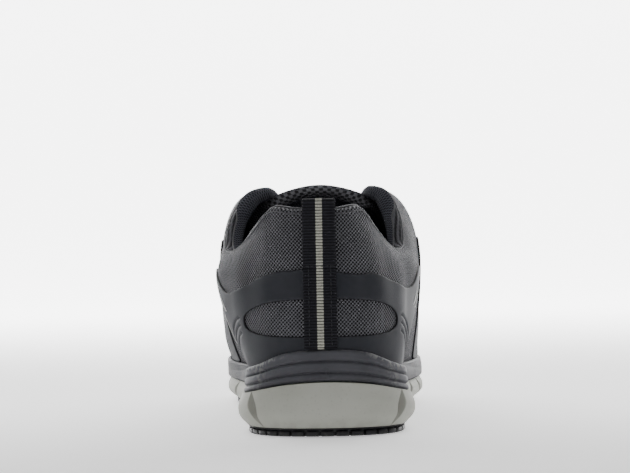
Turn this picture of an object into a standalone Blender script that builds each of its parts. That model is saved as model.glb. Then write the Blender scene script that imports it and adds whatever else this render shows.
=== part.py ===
"""Safety sneaker, right shoe, empty and standing on its sole.

Metres, +Z up, toe towards +Y, little-toe side towards +X. The origin is on the floor, at the
middle of the sole's length and width. Every piece grows out of one outline of the sole and one
surface of the last, so the pieces follow each other when a size is changed.
"""

import math

import bmesh
import bpy
import numpy as np

MM = 0.001

# Sole sizes
SHOE_LENGTH = 300.0 * MM
HEEL_WIDTH = 83.0 * MM
WAIST_WIDTH = 77.0 * MM
BALL_WIDTH = 106.5 * MM
TOE_WIDTH = 103.0 * MM
TOE_SWING = -7.0 * MM
HEEL_ROUNDING = 42.0 * MM
TOE_ROUNDING = 78.0 * MM
HEEL_STACK = 28.0 * MM
FOREFOOT_STACK = 19.0 * MM
TOE_SPRING = 15.0 * MM
HEEL_BEVEL = 0.8 * MM
ARCH_RISE = 3.0 * MM

# Upper sizes
COLLAR_HEIGHT = 102.5 * MM
INSTEP_HEIGHT = 116.5 * MM
COLLAR_WIDTH = 98.0 * MM
COLLAR_SWING = -2.4 * MM
VAMP_HEIGHT = 74.5 * MM
SIDE_BULGE = 12.0 * MM
WALL = 2.6 * MM
COLLAR_PAD = 6.4 * MM

# Thicknesses and clearances
GAP = 0.3 * MM
OVERLAY = 1.2 * MM
OUTSOLE_SHEET = 1.5 * MM
LUG_DEPTH = 2.1 * MM
INSOLE_THICKNESS = 4.5 * MM
TONGUE_THICKNESS = 5.0 * MM
WEBBING = 1.3 * MM
PULL_LOOP_WIDTH = 15.0 * MM
PULL_LOOP_RISE = 6.0 * MM
LACE_WIDTH = 6.0 * MM
LACE_THICKNESS = 2.0 * MM
EYELET_RADIUS = 2.4 * MM
EYELET_PAIRS = 5

# Sampling
COLUMNS = 64
WALL_ROWS = (0.0, 0.1, 0.22, 0.36, 0.5, 0.64, 0.78, 0.9, 1.0)
LINING_ROWS = (0.0, 0.22, 0.5, 0.78, 0.9, 1.0)


# Sole sections: share of the length from the heel, width, sideways swing of the middle
SOLE_SECTIONS = (
    (0.00, HEEL_WIDTH, 0.0),
    (0.18, HEEL_WIDTH, 0.0),
    (0.40, WAIST_WIDTH, 0.02 * WAIST_WIDTH),
    (0.53, (WAIST_WIDTH + BALL_WIDTH) / 2, 0.02 * WAIST_WIDTH),
    (0.68, BALL_WIDTH, -0.06 * TOE_SWING),
    (0.85, TOE_WIDTH, 0.5 * TOE_SWING),
    (1.00, TOE_WIDTH, TOE_SWING),
)

# Heights along the sole: share of the length, floor gap under the tread, height of the seat
# that carries the upper
SOLE_HEIGHTS = (
    (0.00, HEEL_BEVEL, HEEL_STACK),
    (0.045, 0.3 * HEEL_BEVEL, HEEL_STACK),
    (0.09, 0.0, HEEL_STACK),
    (0.32, 0.0, 0.96 * HEEL_STACK),
    (0.44, ARCH_RISE, 0.88 * HEEL_STACK),
    (0.55, 0.0, 0.5 * (0.78 * HEEL_STACK + FOREFOOT_STACK)),
    (0.68, 0.0, FOREFOOT_STACK),
    (0.78, 0.0, FOREFOOT_STACK),
    (0.86, 0.16 * TOE_SPRING, FOREFOOT_STACK + 0.12 * TOE_SPRING),
    (0.93, 0.50 * TOE_SPRING, FOREFOOT_STACK + 0.34 * TOE_SPRING),
    (1.00, TOE_SPRING, FOREFOOT_STACK + 0.62 * TOE_SPRING),
)

# Rand round the foot of the upper: position round the shoe from the heel (0) to the toe (1),
# height of its lower edge and its own height
RAND_HEEL = 14.6 * MM
RAND_SIDE = 10.0 * MM
RAND_TOE = 13.0 * MM
RAND_CLEARANCE = 0.9 * MM
RAND_SEAT = 0.5 * MM
RAND_SECTIONS = (
    (0.00, 0.915 * HEEL_STACK, RAND_HEEL),
    (0.09, 0.86 * HEEL_STACK, 0.97 * RAND_HEEL),
    (0.17, 0.74 * HEEL_STACK, 0.84 * RAND_HEEL),
    (0.26, 0.63 * HEEL_STACK, 0.80 * RAND_HEEL),
    (0.40, 0.57 * HEEL_STACK, RAND_SIDE),
    (0.52, 0.53 * HEEL_STACK, RAND_SIDE),
    (0.64, 0.77 * FOREFOOT_STACK, RAND_SIDE),
    (0.75, 0.78 * FOREFOOT_STACK, RAND_SIDE),
    (0.83, 0.82 * FOREFOOT_STACK, RAND_SIDE),
    (0.91, 0.98 * FOREFOOT_STACK, 0.9 * RAND_TOE),
    (1.00, 1.16 * FOREFOOT_STACK, RAND_TOE),
)

# Top line of the upper, round the collar and down the throat to the vamp: position round the
# shoe, half width to the little-toe side and to the arch side as shares of the collar's width,
# place along the shoe as a share of its length, height as a share of its named height
TOP_LINE = (
    (0.00, 0.000, 0.000, -0.4770, 1.000, COLLAR_HEIGHT),
    (0.07, 0.125, 0.130, -0.4680, 1.006, COLLAR_HEIGHT),
    (0.13, 0.205, 0.230, -0.4340, 1.012, COLLAR_HEIGHT),
    (0.19, 0.275, 0.315, -0.3870, 0.925, COLLAR_HEIGHT),
    (0.25, 0.335, 0.380, -0.3330, 0.855, COLLAR_HEIGHT),
    (0.31, 0.385, 0.440, -0.2770, 0.825, COLLAR_HEIGHT),
    (0.37, 0.415, 0.470, -0.2230, 0.858, COLLAR_HEIGHT),
    (0.43, 0.400, 0.440, -0.1800, 0.880, INSTEP_HEIGHT),
    (0.475, 0.340, 0.360, -0.1500, 0.975, INSTEP_HEIGHT),
    (0.51, 0.262, 0.268, -0.1180, 0.995, INSTEP_HEIGHT),
    (0.56, 0.210, 0.205, -0.0600, 0.948, INSTEP_HEIGHT),
    (0.65, 0.175, 0.165, 0.0330, 1.320, VAMP_HEIGHT),
    (0.75, 0.150, 0.140, 0.1030, 1.180, VAMP_HEIGHT),
    (0.85, 0.115, 0.110, 0.1530, 1.080, VAMP_HEIGHT),
    (0.93, 0.060, 0.058, 0.1820, 1.020, VAMP_HEIGHT),
    (1.00, 0.000, 0.000, 0.1920, 1.000, VAMP_HEIGHT),
)

# Sections of the upper round the shoe. Position round the shoe; distance inside the sole's
# outline at the foot, then at the widest place on the little-toe side and on the arch side, as
# shares of the side bulge; height of the widest place as a share of the wall's height; how
# upright the wall stands there; inward roll and rise on arriving at the top
SECTIONS = (
    (0.00, 0.50, 0.28, 0.28, 0.32, 1.10, -0.80, 1.00),
    (0.07, 0.60, 0.42, 0.38, 0.34, 1.10, -0.60, 1.00),
    (0.13, 0.68, 0.56, 0.42, 0.42, 1.10, 0.20, 0.90),
    (0.19, 0.66, 0.60, 0.34, 0.52, 1.10, 0.60, 0.70),
    (0.25, 0.56, 0.32, -0.18, 0.70, 1.05, 1.20, 0.60),
    (0.31, 0.46, -0.25, -0.88, 0.80, 1.00, 1.40, 0.40),
    (0.37, 0.40, -0.62, -1.18, 0.76, 1.10, 1.50, 0.35),
    (0.43, 0.36, -0.64, -1.18, 0.63, 1.40, 1.60, 0.20),
    (0.475, 0.35, -0.54, -1.10, 0.59, 1.50, 1.60, 0.15),
    (0.51, 0.34, -0.28, -0.86, 0.52, 1.45, 1.55, 0.20),
    (0.58, 0.30, 0.12, -0.36, 0.40, 1.30, 1.35, 0.40),
    (0.65, 0.26, 0.20, 0.00, 0.32, 1.30, 1.30, 0.50),
    (0.75, 0.24, 0.12, 0.10, 0.30, 1.45, 1.30, 0.45),
    (0.85, 0.26, 0.14, 0.14, 0.28, 1.70, 1.25, 0.40),
    (1.00, 0.30, 0.16, 0.16, 0.28, 2.10, 1.20, 0.50),
)

# Padding of the wall: share of the way up the wall, share of the collar pad's thickness
PAD_SECTIONS = ((0.0, 0.0), (0.35, 0.0), (0.6, 0.75), (0.8, 1.0), (0.93, 0.95), (1.0, 0.8))
PAD_ENDS = (0.47, 0.55)


def clear_scene():
    for item in list(bpy.data.objects):
        bpy.data.objects.remove(item)


def smooth(knots, values, at):
    """A smooth curve through the values, level past its ends."""
    knots = np.asarray(knots, float)
    values = np.asarray(values, float)
    slopes = np.gradient(values, knots)
    i = np.clip(np.searchsorted(knots, at, side="right") - 1, 0, len(knots) - 2)
    span = knots[i + 1] - knots[i]
    t = np.clip((at - knots[i]) / span, 0.0, 1.0)
    return hermite(values[i], values[i + 1], slopes[i] * span, slopes[i + 1] * span, t)


def hermite(start, end, leave, arrive, t):
    return (
        (2 * t**3 - 3 * t**2 + 1) * start
        + (t**3 - 2 * t**2 + t) * leave
        + (3 * t**2 - 2 * t**3) * end
        + (t**3 - t**2) * arrive
    )


def around(places, outer, inner, at):
    """A smooth closed curve round the shoe: outer values on the little-toe side, where the
    position runs from 0 at the heel to 1 at the toe, and inner ones on the way back to 2."""
    places = np.asarray(places, float)
    knots = np.concatenate([places, 2 - places[-2:0:-1]])
    values = np.concatenate([outer, np.asarray(inner)[-2:0:-1]])
    knots = np.concatenate([knots[-3:] - 2, knots, knots[:4] + 2])
    values = np.concatenate([values[-3:], values, values[:4]])
    return smooth(knots, values, np.mod(at, 2.0))


def share_of_length(place):
    """How far along the shoe a position round it lies."""
    return (1 - np.cos(math.pi * place)) / 2


def outline(place):
    """The sole's widest outline."""
    share = share_of_length(place)
    stations, widths, swings = zip(*SOLE_SECTIONS)
    heel = np.clip(share * SHOE_LENGTH / HEEL_ROUNDING, 0, 1)
    toe = np.clip((1 - share) * SHOE_LENGTH / TOE_ROUNDING, 0, 1)
    rounding = np.sqrt(1 - (1 - heel) ** 2) * (1 - (1 - toe) ** 2.25) ** (1 / 2.25)
    side = np.where(np.mod(place, 2.0) <= 1.0, 1.0, -1.0)
    half = smooth(stations, widths, share) / 2 * rounding
    return np.stack([smooth(stations, swings, share) + side * half, (share - 0.5) * SHOE_LENGTH], -1)


def outward(place):
    step = 1e-3
    along = outline(place + step) - outline(place - step)
    across = np.stack([along[..., 1], -along[..., 0]], -1)
    return across / np.linalg.norm(across, axis=-1, keepdims=True)


def ring(place, inset):
    """The outline moved inwards by inset."""
    return outline(place) - outward(place) * np.asarray(inset)[..., None]


def under_sole(y):
    """Height of the tread above the floor."""
    stations, gaps, _ = zip(*SOLE_HEIGHTS)
    return np.maximum(smooth(stations, gaps, y / SHOE_LENGTH + 0.5), 0.0)


def seat(y):
    """Height of the midsole's top, which carries the upper."""
    stations, _, seats = zip(*SOLE_HEIGHTS)
    return smooth(stations, seats, y / SHOE_LENGTH + 0.5)


def rand_edges(place):
    """Heights of the rand's lower and upper edge."""
    places, lower, height = zip(*RAND_SECTIONS)
    bottom = around(places, lower, lower, place)
    return bottom, bottom + around(places, height, height, place)


def top_line(place):
    places, outer, inner, along, up, height = (np.array(c) for c in zip(*TOP_LINE))
    x = around(places, COLLAR_WIDTH * outer, -COLLAR_WIDTH * inner, place)
    swing = COLLAR_SWING * np.clip(1.2 - share_of_length(place), 0.3, 1.0)
    y = around(places, SHOE_LENGTH * along, SHOE_LENGTH * along, place)
    z = around(places, up * height, up * height, place)
    return np.stack([x + swing, y, z], -1)


def foot_inset(place):
    """How far inside the outline the upper meets the sole."""
    places, foot = (np.array(c) for c in list(zip(*SECTIONS))[:2])
    return SIDE_BULGE * around(places, foot, foot, place)


def upper(place, v):
    """The outer surface of the upper: v runs from 0 at the sole to 1 at the top line."""
    place, v = np.broadcast_arrays(np.asarray(place, float), np.asarray(v, float))
    places, _, outer, inner, level, upright, roll, rise = (np.array(c) for c in zip(*SECTIONS))
    foot = ring(place, foot_inset(place))
    foot = with_height(foot, seat(foot[..., 1]) + GAP)
    top = top_line(place)
    wall = (top - foot)[..., 2]
    share = around(places, level, level, place)
    widest = ring(place, SIDE_BULGE * around(places, outer, inner, place))
    widest = with_height(widest, foot[..., 2] + share * wall)
    stand = np.zeros(foot.shape)
    stand[..., 2] = wall * around(places, upright, upright, place)
    leave = widest - foot
    leave[..., :2] *= 1.6
    reach = top - widest
    reach[..., :2] *= around(places, roll, roll, place)[..., None]
    reach[..., 2] *= around(places, rise, rise, place)
    knee = np.clip(0.25 + 0.5 * share, 0.2, 0.8)[..., None]
    t = v[..., None]
    below = hermite(foot, widest, leave, stand * knee, np.clip(t / knee, 0, 1))
    above = hermite(widest, top, stand * (1 - knee), reach, np.clip((t - knee) / (1 - knee), 0, 1))
    return np.where(t < knee, below, above)


def upper_normal(place, v):
    """Outward direction of the upper's surface."""
    place, v = np.broadcast_arrays(np.asarray(place, float), np.asarray(v, float))
    step = 2e-3
    low, high = np.clip(v - step, 0, 1), np.clip(v + step, 0, 1)
    along = upper(place + step, v) - upper(place - step, v)
    climb = upper(place, high) - upper(place, low)
    normal = np.cross(climb, along)
    normal /= np.linalg.norm(normal, axis=-1, keepdims=True)
    away = np.concatenate([outward(place), np.full(place.shape + (1,), 0.6)], -1)
    return normal * np.sign((normal * away).sum(-1, keepdims=True))


def upper_at(place, v, lift):
    """A point lift outside the upper's surface, or inside it where lift is negative."""
    return upper(place, v) + upper_normal(place, v) * np.asarray(lift)[..., None]


def wall_thickness(place, v):
    """Shell and lining, with the foam of the padded collar."""
    side = np.where(np.mod(place, 2.0) <= 1.0, np.mod(place, 2.0), 2 - np.mod(place, 2.0))
    fade = np.clip((PAD_ENDS[1] - side) / (PAD_ENDS[1] - PAD_ENDS[0]), 0, 1)
    knots, pads = zip(*PAD_SECTIONS)
    return WALL + COLLAR_PAD * fade * smooth(knots, pads, v)


def height_on_upper(place, z, lift=0.0):
    """How far up the wall a height is reached."""
    rows = np.linspace(0, 1, 161)
    found = []
    for one, height in zip(np.ravel(place), np.ravel(z)):
        heights = upper(one, rows)[:, 2]
        found.append(np.interp(height - lift, heights[: heights.argmax() + 1], rows[: heights.argmax() + 1]))
    return np.array(found).reshape(np.shape(place))


# Building meshes


def material(name, colour, roughness, metallic=0.0):
    made = bpy.data.materials.new(name)
    made.use_nodes = True
    shader = made.node_tree.nodes["Principled BSDF"]
    shader.inputs["Base Color"].default_value = (*colour, 1.0)
    shader.inputs["Roughness"].default_value = roughness
    shader.inputs["Metallic"].default_value = metallic
    return made


def solid(name, points, faces, finish):
    """An object from points and faces, with its faces turned outwards."""
    mesh = bpy.data.meshes.new(name)
    mesh.from_pydata([tuple(map(float, p)) for p in points], [], faces)
    work = bmesh.new()
    work.from_mesh(mesh)
    bmesh.ops.recalc_face_normals(work, faces=work.faces)
    if work.calc_volume(signed=True) < 0:
        bmesh.ops.reverse_faces(work, faces=work.faces)
    work.to_mesh(mesh)
    work.free()
    mesh.materials.append(finish)
    made = bpy.data.objects.new(name, mesh)
    bpy.context.scene.collection.objects.link(made)
    return made


def closed_tube(grid):
    """Faces of a ring-shaped body: rows run round its section, columns round the shoe."""
    rows, columns = grid.shape[:2]
    faces = []
    for r in range(rows):
        for c in range(columns):
            r2, c2 = (r + 1) % rows, (c + 1) % columns
            faces.append((r * columns + c, r * columns + c2, r2 * columns + c2))
            faces.append((r * columns + c, r2 * columns + c2, r2 * columns + c))
    return grid.reshape(-1, 3), faces


def sheet_body(top, bottom):
    """Faces of a thin body between two grids of the same size."""
    rows, columns = top.shape[:2]
    points = np.concatenate([top.reshape(-1, 3), bottom.reshape(-1, 3)])
    other = rows * columns
    faces = []
    for r in range(rows - 1):
        for c in range(columns - 1):
            i = r * columns + c
            for corners in ((i, i + 1, i + columns + 1), (i, i + columns + 1, i + columns)):
                faces.append(corners)
                faces.append(tuple(other + k for k in corners[::-1]))
    rim = [c for c in range(columns)]
    rim += [r * columns + columns - 1 for r in range(1, rows)]
    rim += [(rows - 1) * columns + c for c in range(columns - 2, -1, -1)]
    rim += [r * columns for r in range(rows - 2, 0, -1)]
    for a, b in zip(rim, rim[1:] + rim[:1]):
        faces.append((b, a, other + a, other + b))
    return points, faces


def stacked_rings(rings):
    """Faces of a body made of closed rings, its ends closed by strips from side to side."""
    rings = np.asarray(rings)
    count, columns = rings.shape[:2]
    faces = []
    for r in range(count - 1):
        for c in range(columns):
            c2 = (c + 1) % columns
            faces.append((r * columns + c, r * columns + c2, (r + 1) * columns + c2, (r + 1) * columns + c))
    for base in (0, (count - 1) * columns):
        for c in range(columns // 2):
            strip = [c, c + 1, (columns - c - 1) % columns, (columns - c) % columns]
            corners = list(dict.fromkeys(strip))
            if len(corners) > 2:
                faces.append(tuple(base + k for k in corners))
    return rings.reshape(-1, 3), faces


def prism(name, outline_points, axis, low, high):
    """A hidden cutter: an outline in the two other axes, drawn out along axis."""
    points = []
    for level in (low, high):
        for a, b in outline_points:
            point = [a, b]
            point.insert(axis, level)
            points.append(point)
    count = len(outline_points)
    faces = [tuple(range(count)), tuple(range(2 * count - 1, count - 1, -1))]
    faces += [(i, (i + 1) % count, count + (i + 1) % count, count + i) for i in range(count)]
    made = solid(name, points, faces, MATERIALS["cutter"])
    hide(made)
    return made


def hide(cutter):
    cutter.hide_render = True
    cutter.display_type = "WIRE"


def cut(target, cutter, operation):
    change = target.modifiers.new(cutter.name, "BOOLEAN")
    change.operation = operation
    change.solver = "EXACT"
    change.object = cutter


def with_height(flat, z):
    return np.concatenate([flat, np.broadcast_to(np.asarray(z)[..., None], flat.shape[:-1] + (1,))], -1)


# The sole


def arc_places(count_per_side):
    """Positions round the shoe at even distances along the outline of each side."""
    fine = np.linspace(0, 1, 400)
    steps = np.linalg.norm(np.diff(outline(fine), axis=0), axis=1)
    length = np.concatenate([[0], np.cumsum(steps)])
    return np.interp(np.linspace(0, length[-1], count_per_side + 1), length, fine)


NOTCHES_PER_SIDE = 10
FIRST_NOTCH = 0.115
LAST_NOTCH = 0.94
NOTCH_DEPTH = 2.2 * MM
NOTCH_HALF_WIDTH = 0.011
NOTCH_SLANT = 0.010

# Side of the midsole, from the tread to the rand: share of its height, inset from the outline,
# share of a notch's full width and depth, share of its slant
MIDSOLE_SIDE = (
    (0.00, 4.2 * MM, 0.10, -1.0),
    (0.27, 0.8 * MM, 0.55, -0.5),
    (0.60, 0.0 * MM, 1.00, 0.1),
    (1.00, 1.9 * MM, 0.10, 1.0),
)


def midsole_top(place):
    """The ledge that carries the rand."""
    return rand_edges(place)[0] - GAP


def notch_columns(spread, slant):
    """Positions of the columns at one height: both edges and the middle of each notch, and the
    middle of each block between two."""
    arc = arc_places(400)
    shares = np.linspace(0, 1, len(arc))
    pitch = (LAST_NOTCH - FIRST_NOTCH) / (NOTCHES_PER_SIDE - 1)
    half = []
    for k in range(NOTCHES_PER_SIDE):
        centre = FIRST_NOTCH + pitch * k + NOTCH_SLANT * slant * (-1) ** k
        half += [centre - NOTCH_HALF_WIDTH * spread, centre, centre + NOTCH_HALF_WIDTH * spread]
        if k < NOTCHES_PER_SIDE - 1:
            half.append(FIRST_NOTCH + pitch * (k + 0.5))
    ends = [0.0, FIRST_NOTCH * 0.35, FIRST_NOTCH * 0.7]
    side = np.array(ends + half + [1.0])
    outer = np.interp(side, shares, arc)
    return np.concatenate([outer, 2 - outer[-2:0:-1]])


def is_notch_middle():
    marks = [0, 0, 0]
    for k in range(NOTCHES_PER_SIDE):
        marks += [0, 1, 0] + ([0] if k < NOTCHES_PER_SIDE - 1 else [])
    marks += [0]
    return np.array(marks + marks[-2:0:-1], float)


def make_midsole():
    deep = is_notch_middle()
    rings = []
    for share, inset, spread, slant in MIDSOLE_SIDE:
        places = notch_columns(spread, slant)
        flat = ring(places, inset + deep * NOTCH_DEPTH * spread)
        bottom = under_sole(flat[:, 1]) + LUG_DEPTH + OUTSOLE_SHEET + GAP
        rings.append(with_height(flat, bottom + share * (midsole_top(places) - bottom)))
    places = notch_columns(MIDSOLE_SIDE[-1][2], 0.0)
    shoulder = ring(places, foot_inset(places) + 0.5 * MM)
    rings.append(with_height(shoulder, midsole_top(places)))
    rings.append(with_height(shoulder, seat(shoulder[:, 1])))
    return solid("midsole", *stacked_rings(rings), MATERIALS["midsole"])


LUG_PITCH_Y = 20.0 * MM
LUG_PITCH_X = 20.0 * MM
LUG_SIZE_Y = 15.0 * MM
LUG_SIZE_X = 16.0 * MM
LUG_EDGE = 4.2 * MM
SHEET_BEVEL = 2.6 * MM
LUG_RAKE = 3.0 * MM
LUG_GAP = 2.0 * MM
HEEL_PAD = (0.22, 17.0 * MM, 13.0 * MM)
BALL_PAD = (0.68, 20.0 * MM, 15.0 * MM)


def lug(outline_xy):
    """One block of the tread, from inside the sheet down to the floor's curve."""
    low = [(x, y, under_sole(y)) for x, y in outline_xy]
    high = [(x, y, under_sole(y) + LUG_DEPTH + 0.5 * OUTSOLE_SHEET) for x, y in outline_xy]
    count = len(outline_xy)
    faces = [tuple(range(count)), tuple(range(2 * count - 1, count - 1, -1))]
    faces += [(i, (i + 1) % count, count + (i + 1) % count, count + i) for i in range(count)]
    return low + high, faces


def meets_pad(block, pad):
    """Whether a block comes closer than a lug's gap to a round pad."""
    centre, half_x, half_y = pad
    for (ax, ay), (bx, by) in zip(block, block[1:] + block[:1]):
        for t in (0.0, 0.25, 0.5, 0.75):
            x, y = ax + (bx - ax) * t, ay + (by - ay) * t
            if (x / (half_x + LUG_GAP)) ** 2 + ((y - centre) / (half_y + LUG_GAP)) ** 2 < 1:
                return True
    return False


def lug_outlines():
    """Two round pads on the floor and staggered blocks round them."""
    pads, found = [], []
    for share, half_x, half_y in (HEEL_PAD, BALL_PAD):
        centre = (share - 0.5) * SHOE_LENGTH
        turns = np.linspace(0, 2 * math.pi, 13)[:-1]
        pads.append((centre, half_x, half_y))
        found.append([(half_x * math.cos(t), centre + half_y * math.sin(t)) for t in turns])
    rows = int(SHOE_LENGTH / LUG_PITCH_Y)
    for row in range(rows + 1):
        y = (row - rows / 2) * LUG_PITCH_Y
        for column in range(-4, 5):
            x = (column + 0.5 * (row % 2)) * LUG_PITCH_X
            rake = LUG_RAKE / 2 if x >= 0 else -LUG_RAKE / 2
            block = [
                (x - LUG_SIZE_X / 2, y - LUG_SIZE_Y / 2 - rake),
                (x + LUG_SIZE_X / 2, y - LUG_SIZE_Y / 2 + rake),
                (x + LUG_SIZE_X / 2, y + LUG_SIZE_Y / 2 + rake),
                (x - LUG_SIZE_X / 2, y + LUG_SIZE_Y / 2 - rake),
            ]
            if abs(x) < BALL_WIDTH / 2 and not any(meets_pad(block, pad) for pad in pads):
                found.append(block)
    return found


def make_outsole():
    places = np.arange(64) / 32.0
    rings = []
    for inset, lift in ((SHEET_BEVEL, 0.0), (0.0, 0.9 * OUTSOLE_SHEET), (0.0, OUTSOLE_SHEET)):
        flat = ring(places, np.full(places.shape, MIDSOLE_SIDE[0][1] + 0.3 * MM + inset))
        rings.append(with_height(flat, under_sole(flat[:, 1]) + LUG_DEPTH + lift))
    sheet = solid("outsole", *stacked_rings(rings), MATERIALS["outsole"])
    points, faces = [], []
    for shape in lug_outlines():
        some, sides = lug(shape)
        faces += [tuple(len(points) + k for k in face) for face in sides]
        points += some
    lugs = solid("tread_blocks", points, faces, MATERIALS["cutter"])
    hide(lugs)
    edge = ring(places, np.full(places.shape, MIDSOLE_SIDE[0][1] + LUG_EDGE))
    border = prism("tread_border", [tuple(p) for p in edge], 2, -LUG_DEPTH, HEEL_STACK + TOE_SPRING)
    cut(lugs, border, "INTERSECT")
    cut(sheet, lugs, "UNION")
    return sheet


# Rand: share of its height, thickness outside the upper at the heel, and elsewhere
RAND_PROFILE = (
    (0.00, 2.9 * MM, 2.8 * MM),
    (0.17, 3.8 * MM, 3.2 * MM),
    (0.34, 2.8 * MM, 3.0 * MM),
    (0.50, 3.5 * MM, 2.7 * MM),
    (0.67, 2.5 * MM, 2.4 * MM),
    (0.84, 3.0 * MM, 1.9 * MM),
    (1.00, 1.3 * MM, 1.1 * MM),
)
RIBS_END = (0.28, 0.42)


def rand_point(place, z, away):
    """A point away from the upper's wall at a height, or under the wall's foot."""
    v = height_on_upper(place, z)
    wall = upper(place, v)
    return with_height(wall[..., :2] + outward(place) * np.asarray(away)[..., None], z)


def make_rand():
    places = np.arange(COLUMNS) * 2.0 / COLUMNS
    side = np.minimum(places, 2 - places)
    ribbed = np.clip((RIBS_END[1] - side) / (RIBS_END[1] - RIBS_END[0]), 0, 1)
    low, high = rand_edges(places)
    rows = []
    for share, at_heel, elsewhere in RAND_PROFILE:
        thick = ribbed * at_heel + (1 - ribbed) * elsewhere
        rows.append(rand_point(places, low + share * (high - low), GAP + thick))
    for share in (1.0, 0.5, 0.0):
        rows.append(rand_point(places, low + share * (high - low), np.full(places.shape, RAND_SEAT)))
    return solid("rand", *closed_tube(np.array(rows)), MATERIALS["rand"])


def make_insole():
    places = np.arange(36) / 18.0
    edge = foot_inset(places) + WALL + 0.7 * MM
    rings = []
    for inset, lift in ((1.5 * MM, 0.0), (0.0, 0.35), (0.0, 1.2), (3.0 * MM, 1.0)):
        flat = ring(places, edge + inset)
        rings.append(with_height(flat, seat(flat[:, 1]) + GAP + lift * INSOLE_THICKNESS))
    return solid("insole", *stacked_rings(rings), MATERIALS["insole"])


# The upper


def rim_rows(places):
    """The rounded top edge, between the outer surface and the lining."""
    rows = []
    thick = wall_thickness(places, np.ones(places.shape))
    climb = upper(places, 1.0) - upper(places, 0.97)
    climb /= np.linalg.norm(climb, axis=-1, keepdims=True)
    normal = upper_normal(places, 1.0)
    for turn in (50.0, 130.0):
        angle = math.radians(turn)
        depth = (1 - math.cos(angle)) / 2 * thick
        rise = 0.42 * math.sin(angle) * thick
        rows.append(upper(places, 1.0) - normal * depth[:, None] + climb * rise[:, None])
    return rows


def eyelet_places():
    """Positions of the eyelets down one side of the throat, top first."""
    return np.linspace(0.575, 0.83, EYELET_PAIRS)


EYELET_ROW = 0.925
PIN_REACH = 3 * WALL


def eyelet_cutter(name):
    """Pins through every eyelet."""
    points, faces = [], []
    for one in eyelet_places():
        for place in (one, 2 - one):
            centre = upper(place, EYELET_ROW)
            normal = upper_normal(place, EYELET_ROW)
            first = np.cross(normal, [0.0, 1.0, 0.0])
            first /= np.linalg.norm(first)
            second = np.cross(normal, first)
            base = len(points)
            for level in (-PIN_REACH, PIN_REACH):
                for k in range(8):
                    turn = 2 * math.pi * k / 8
                    spoke = math.cos(turn) * first + math.sin(turn) * second
                    points.append(centre + normal * level + spoke * EYELET_RADIUS)
            faces += [tuple(base + k for k in range(8)), tuple(base + 15 - k for k in range(8))]
            faces += [(base + k, base + (k + 1) % 8, base + 8 + (k + 1) % 8, base + 8 + k) for k in range(8)]
    pins = solid(name, points, faces, MATERIALS["cutter"])
    hide(pins)
    return pins


def make_upper(pins):
    places = np.arange(COLUMNS) * 2.0 / COLUMNS
    rows = [upper(places, v) for v in WALL_ROWS]
    rows += rim_rows(places)
    for v in LINING_ROWS[::-1]:
        flat_v = np.full(places.shape, v)
        inner = upper_at(places, flat_v, -wall_thickness(places, flat_v))
        if v == 0.0:
            inner[:, 2] = seat(inner[:, 1]) + GAP
        rows.append(inner)
    body = solid("upper", *closed_tube(np.array(rows)), MATERIALS["mesh_fabric"])
    cut(body, pins, "DIFFERENCE")
    return body


def overlay_form(name, first, last, v_low, v_high, finish):
    """A larger form that an overlay is cut from: a thin sheet just outside the upper, between
    two columns, on the upper's own columns and rows."""
    columns = np.arange(round(first * COLUMNS / 2), round(last * COLUMNS / 2) + 1)
    places = columns * 2.0 / COLUMNS
    rows = [v for v in WALL_ROWS if v_low <= v <= v_high]
    top = np.array([upper_at(places, np.full(places.shape, v), np.full(places.shape, GAP + OVERLAY)) for v in rows])
    bottom = np.array([upper_at(places, np.full(places.shape, v), np.full(places.shape, GAP)) for v in rows])
    return solid(name, *sheet_body(top, bottom), finish)


def rand_top_line(first, last, side):
    """The rand's upper edge seen from the side, and a gap above it."""
    places = np.linspace(first, last, 14)
    edge = rand_edges(places)[1] + RAND_CLEARANCE
    if side < 0:
        places = 2 - places
    v = height_on_upper(places, edge)
    wall = upper_at(places, v, np.full(places.shape, GAP + OVERLAY / 2))
    return [(p[1], p[2]) for p in wall]


# Upper edge of the heel counter, seen from the side: share of the length behind the middle,
# share of the collar's height
COUNTER_TOP = (
    (-0.56, 0.748), (-0.475, 0.741), (-0.450, 0.722), (-0.417, 0.693), (-0.367, 0.655),
    (-0.333, 0.636), (-0.300, 0.626), (-0.275, 0.630), (-0.250, 0.658), (-0.217, 0.725),
)
# Front edge of the heel counter, running down to the rand
COUNTER_FRONT = ((-0.200, 0.700), (-0.208, 0.600), (-0.228, 0.480), (-0.255, 0.360))
# Window in the heel counter, seen from behind: half width to each side of the pull loop,
# height of its middle and half height as shares of the collar's height
WINDOW_HALF_WIDTH = 34.5 * MM
WINDOW_MIDDLE = 0.534
WINDOW_HALF_HEIGHT = 0.078


def side_polygon(points):
    return [(y * SHOE_LENGTH, z * COLLAR_HEIGHT) for y, z in points]


def make_heel_counter():
    reach = 0.375
    form = overlay_form("heel_counter", -reach, reach, 0.0, 0.9, MATERIALS["overlay"])
    lower = rand_top_line(0.0, 0.36, 1)
    behind = [(-0.56 * SHOE_LENGTH, lower[0][1])]
    shape = behind + lower[:-1] + side_polygon(COUNTER_FRONT[::-1] + COUNTER_TOP[::-1])
    cut(form, prism("counter_shape", shape, 0, -BALL_WIDTH, BALL_WIDTH), "INTERSECT")
    middle = top_line(0.0)[0]
    turns = np.linspace(0, 2 * math.pi, 25)[:-1]
    window = []
    for t in turns:
        across = math.copysign(abs(math.cos(t)) ** 0.85, math.cos(t))
        up = math.copysign(abs(math.sin(t)) ** 0.75, math.sin(t))
        window.append((
            middle + WINDOW_HALF_WIDTH * across,
            COLLAR_HEIGHT * (WINDOW_MIDDLE + WINDOW_HALF_HEIGHT * up - 0.012 * across**2),
        ))
    back = -0.56 * SHOE_LENGTH
    cut(form, prism("counter_window", window, 1, back, -0.36 * SHOE_LENGTH), "DIFFERENCE")
    return form


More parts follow.
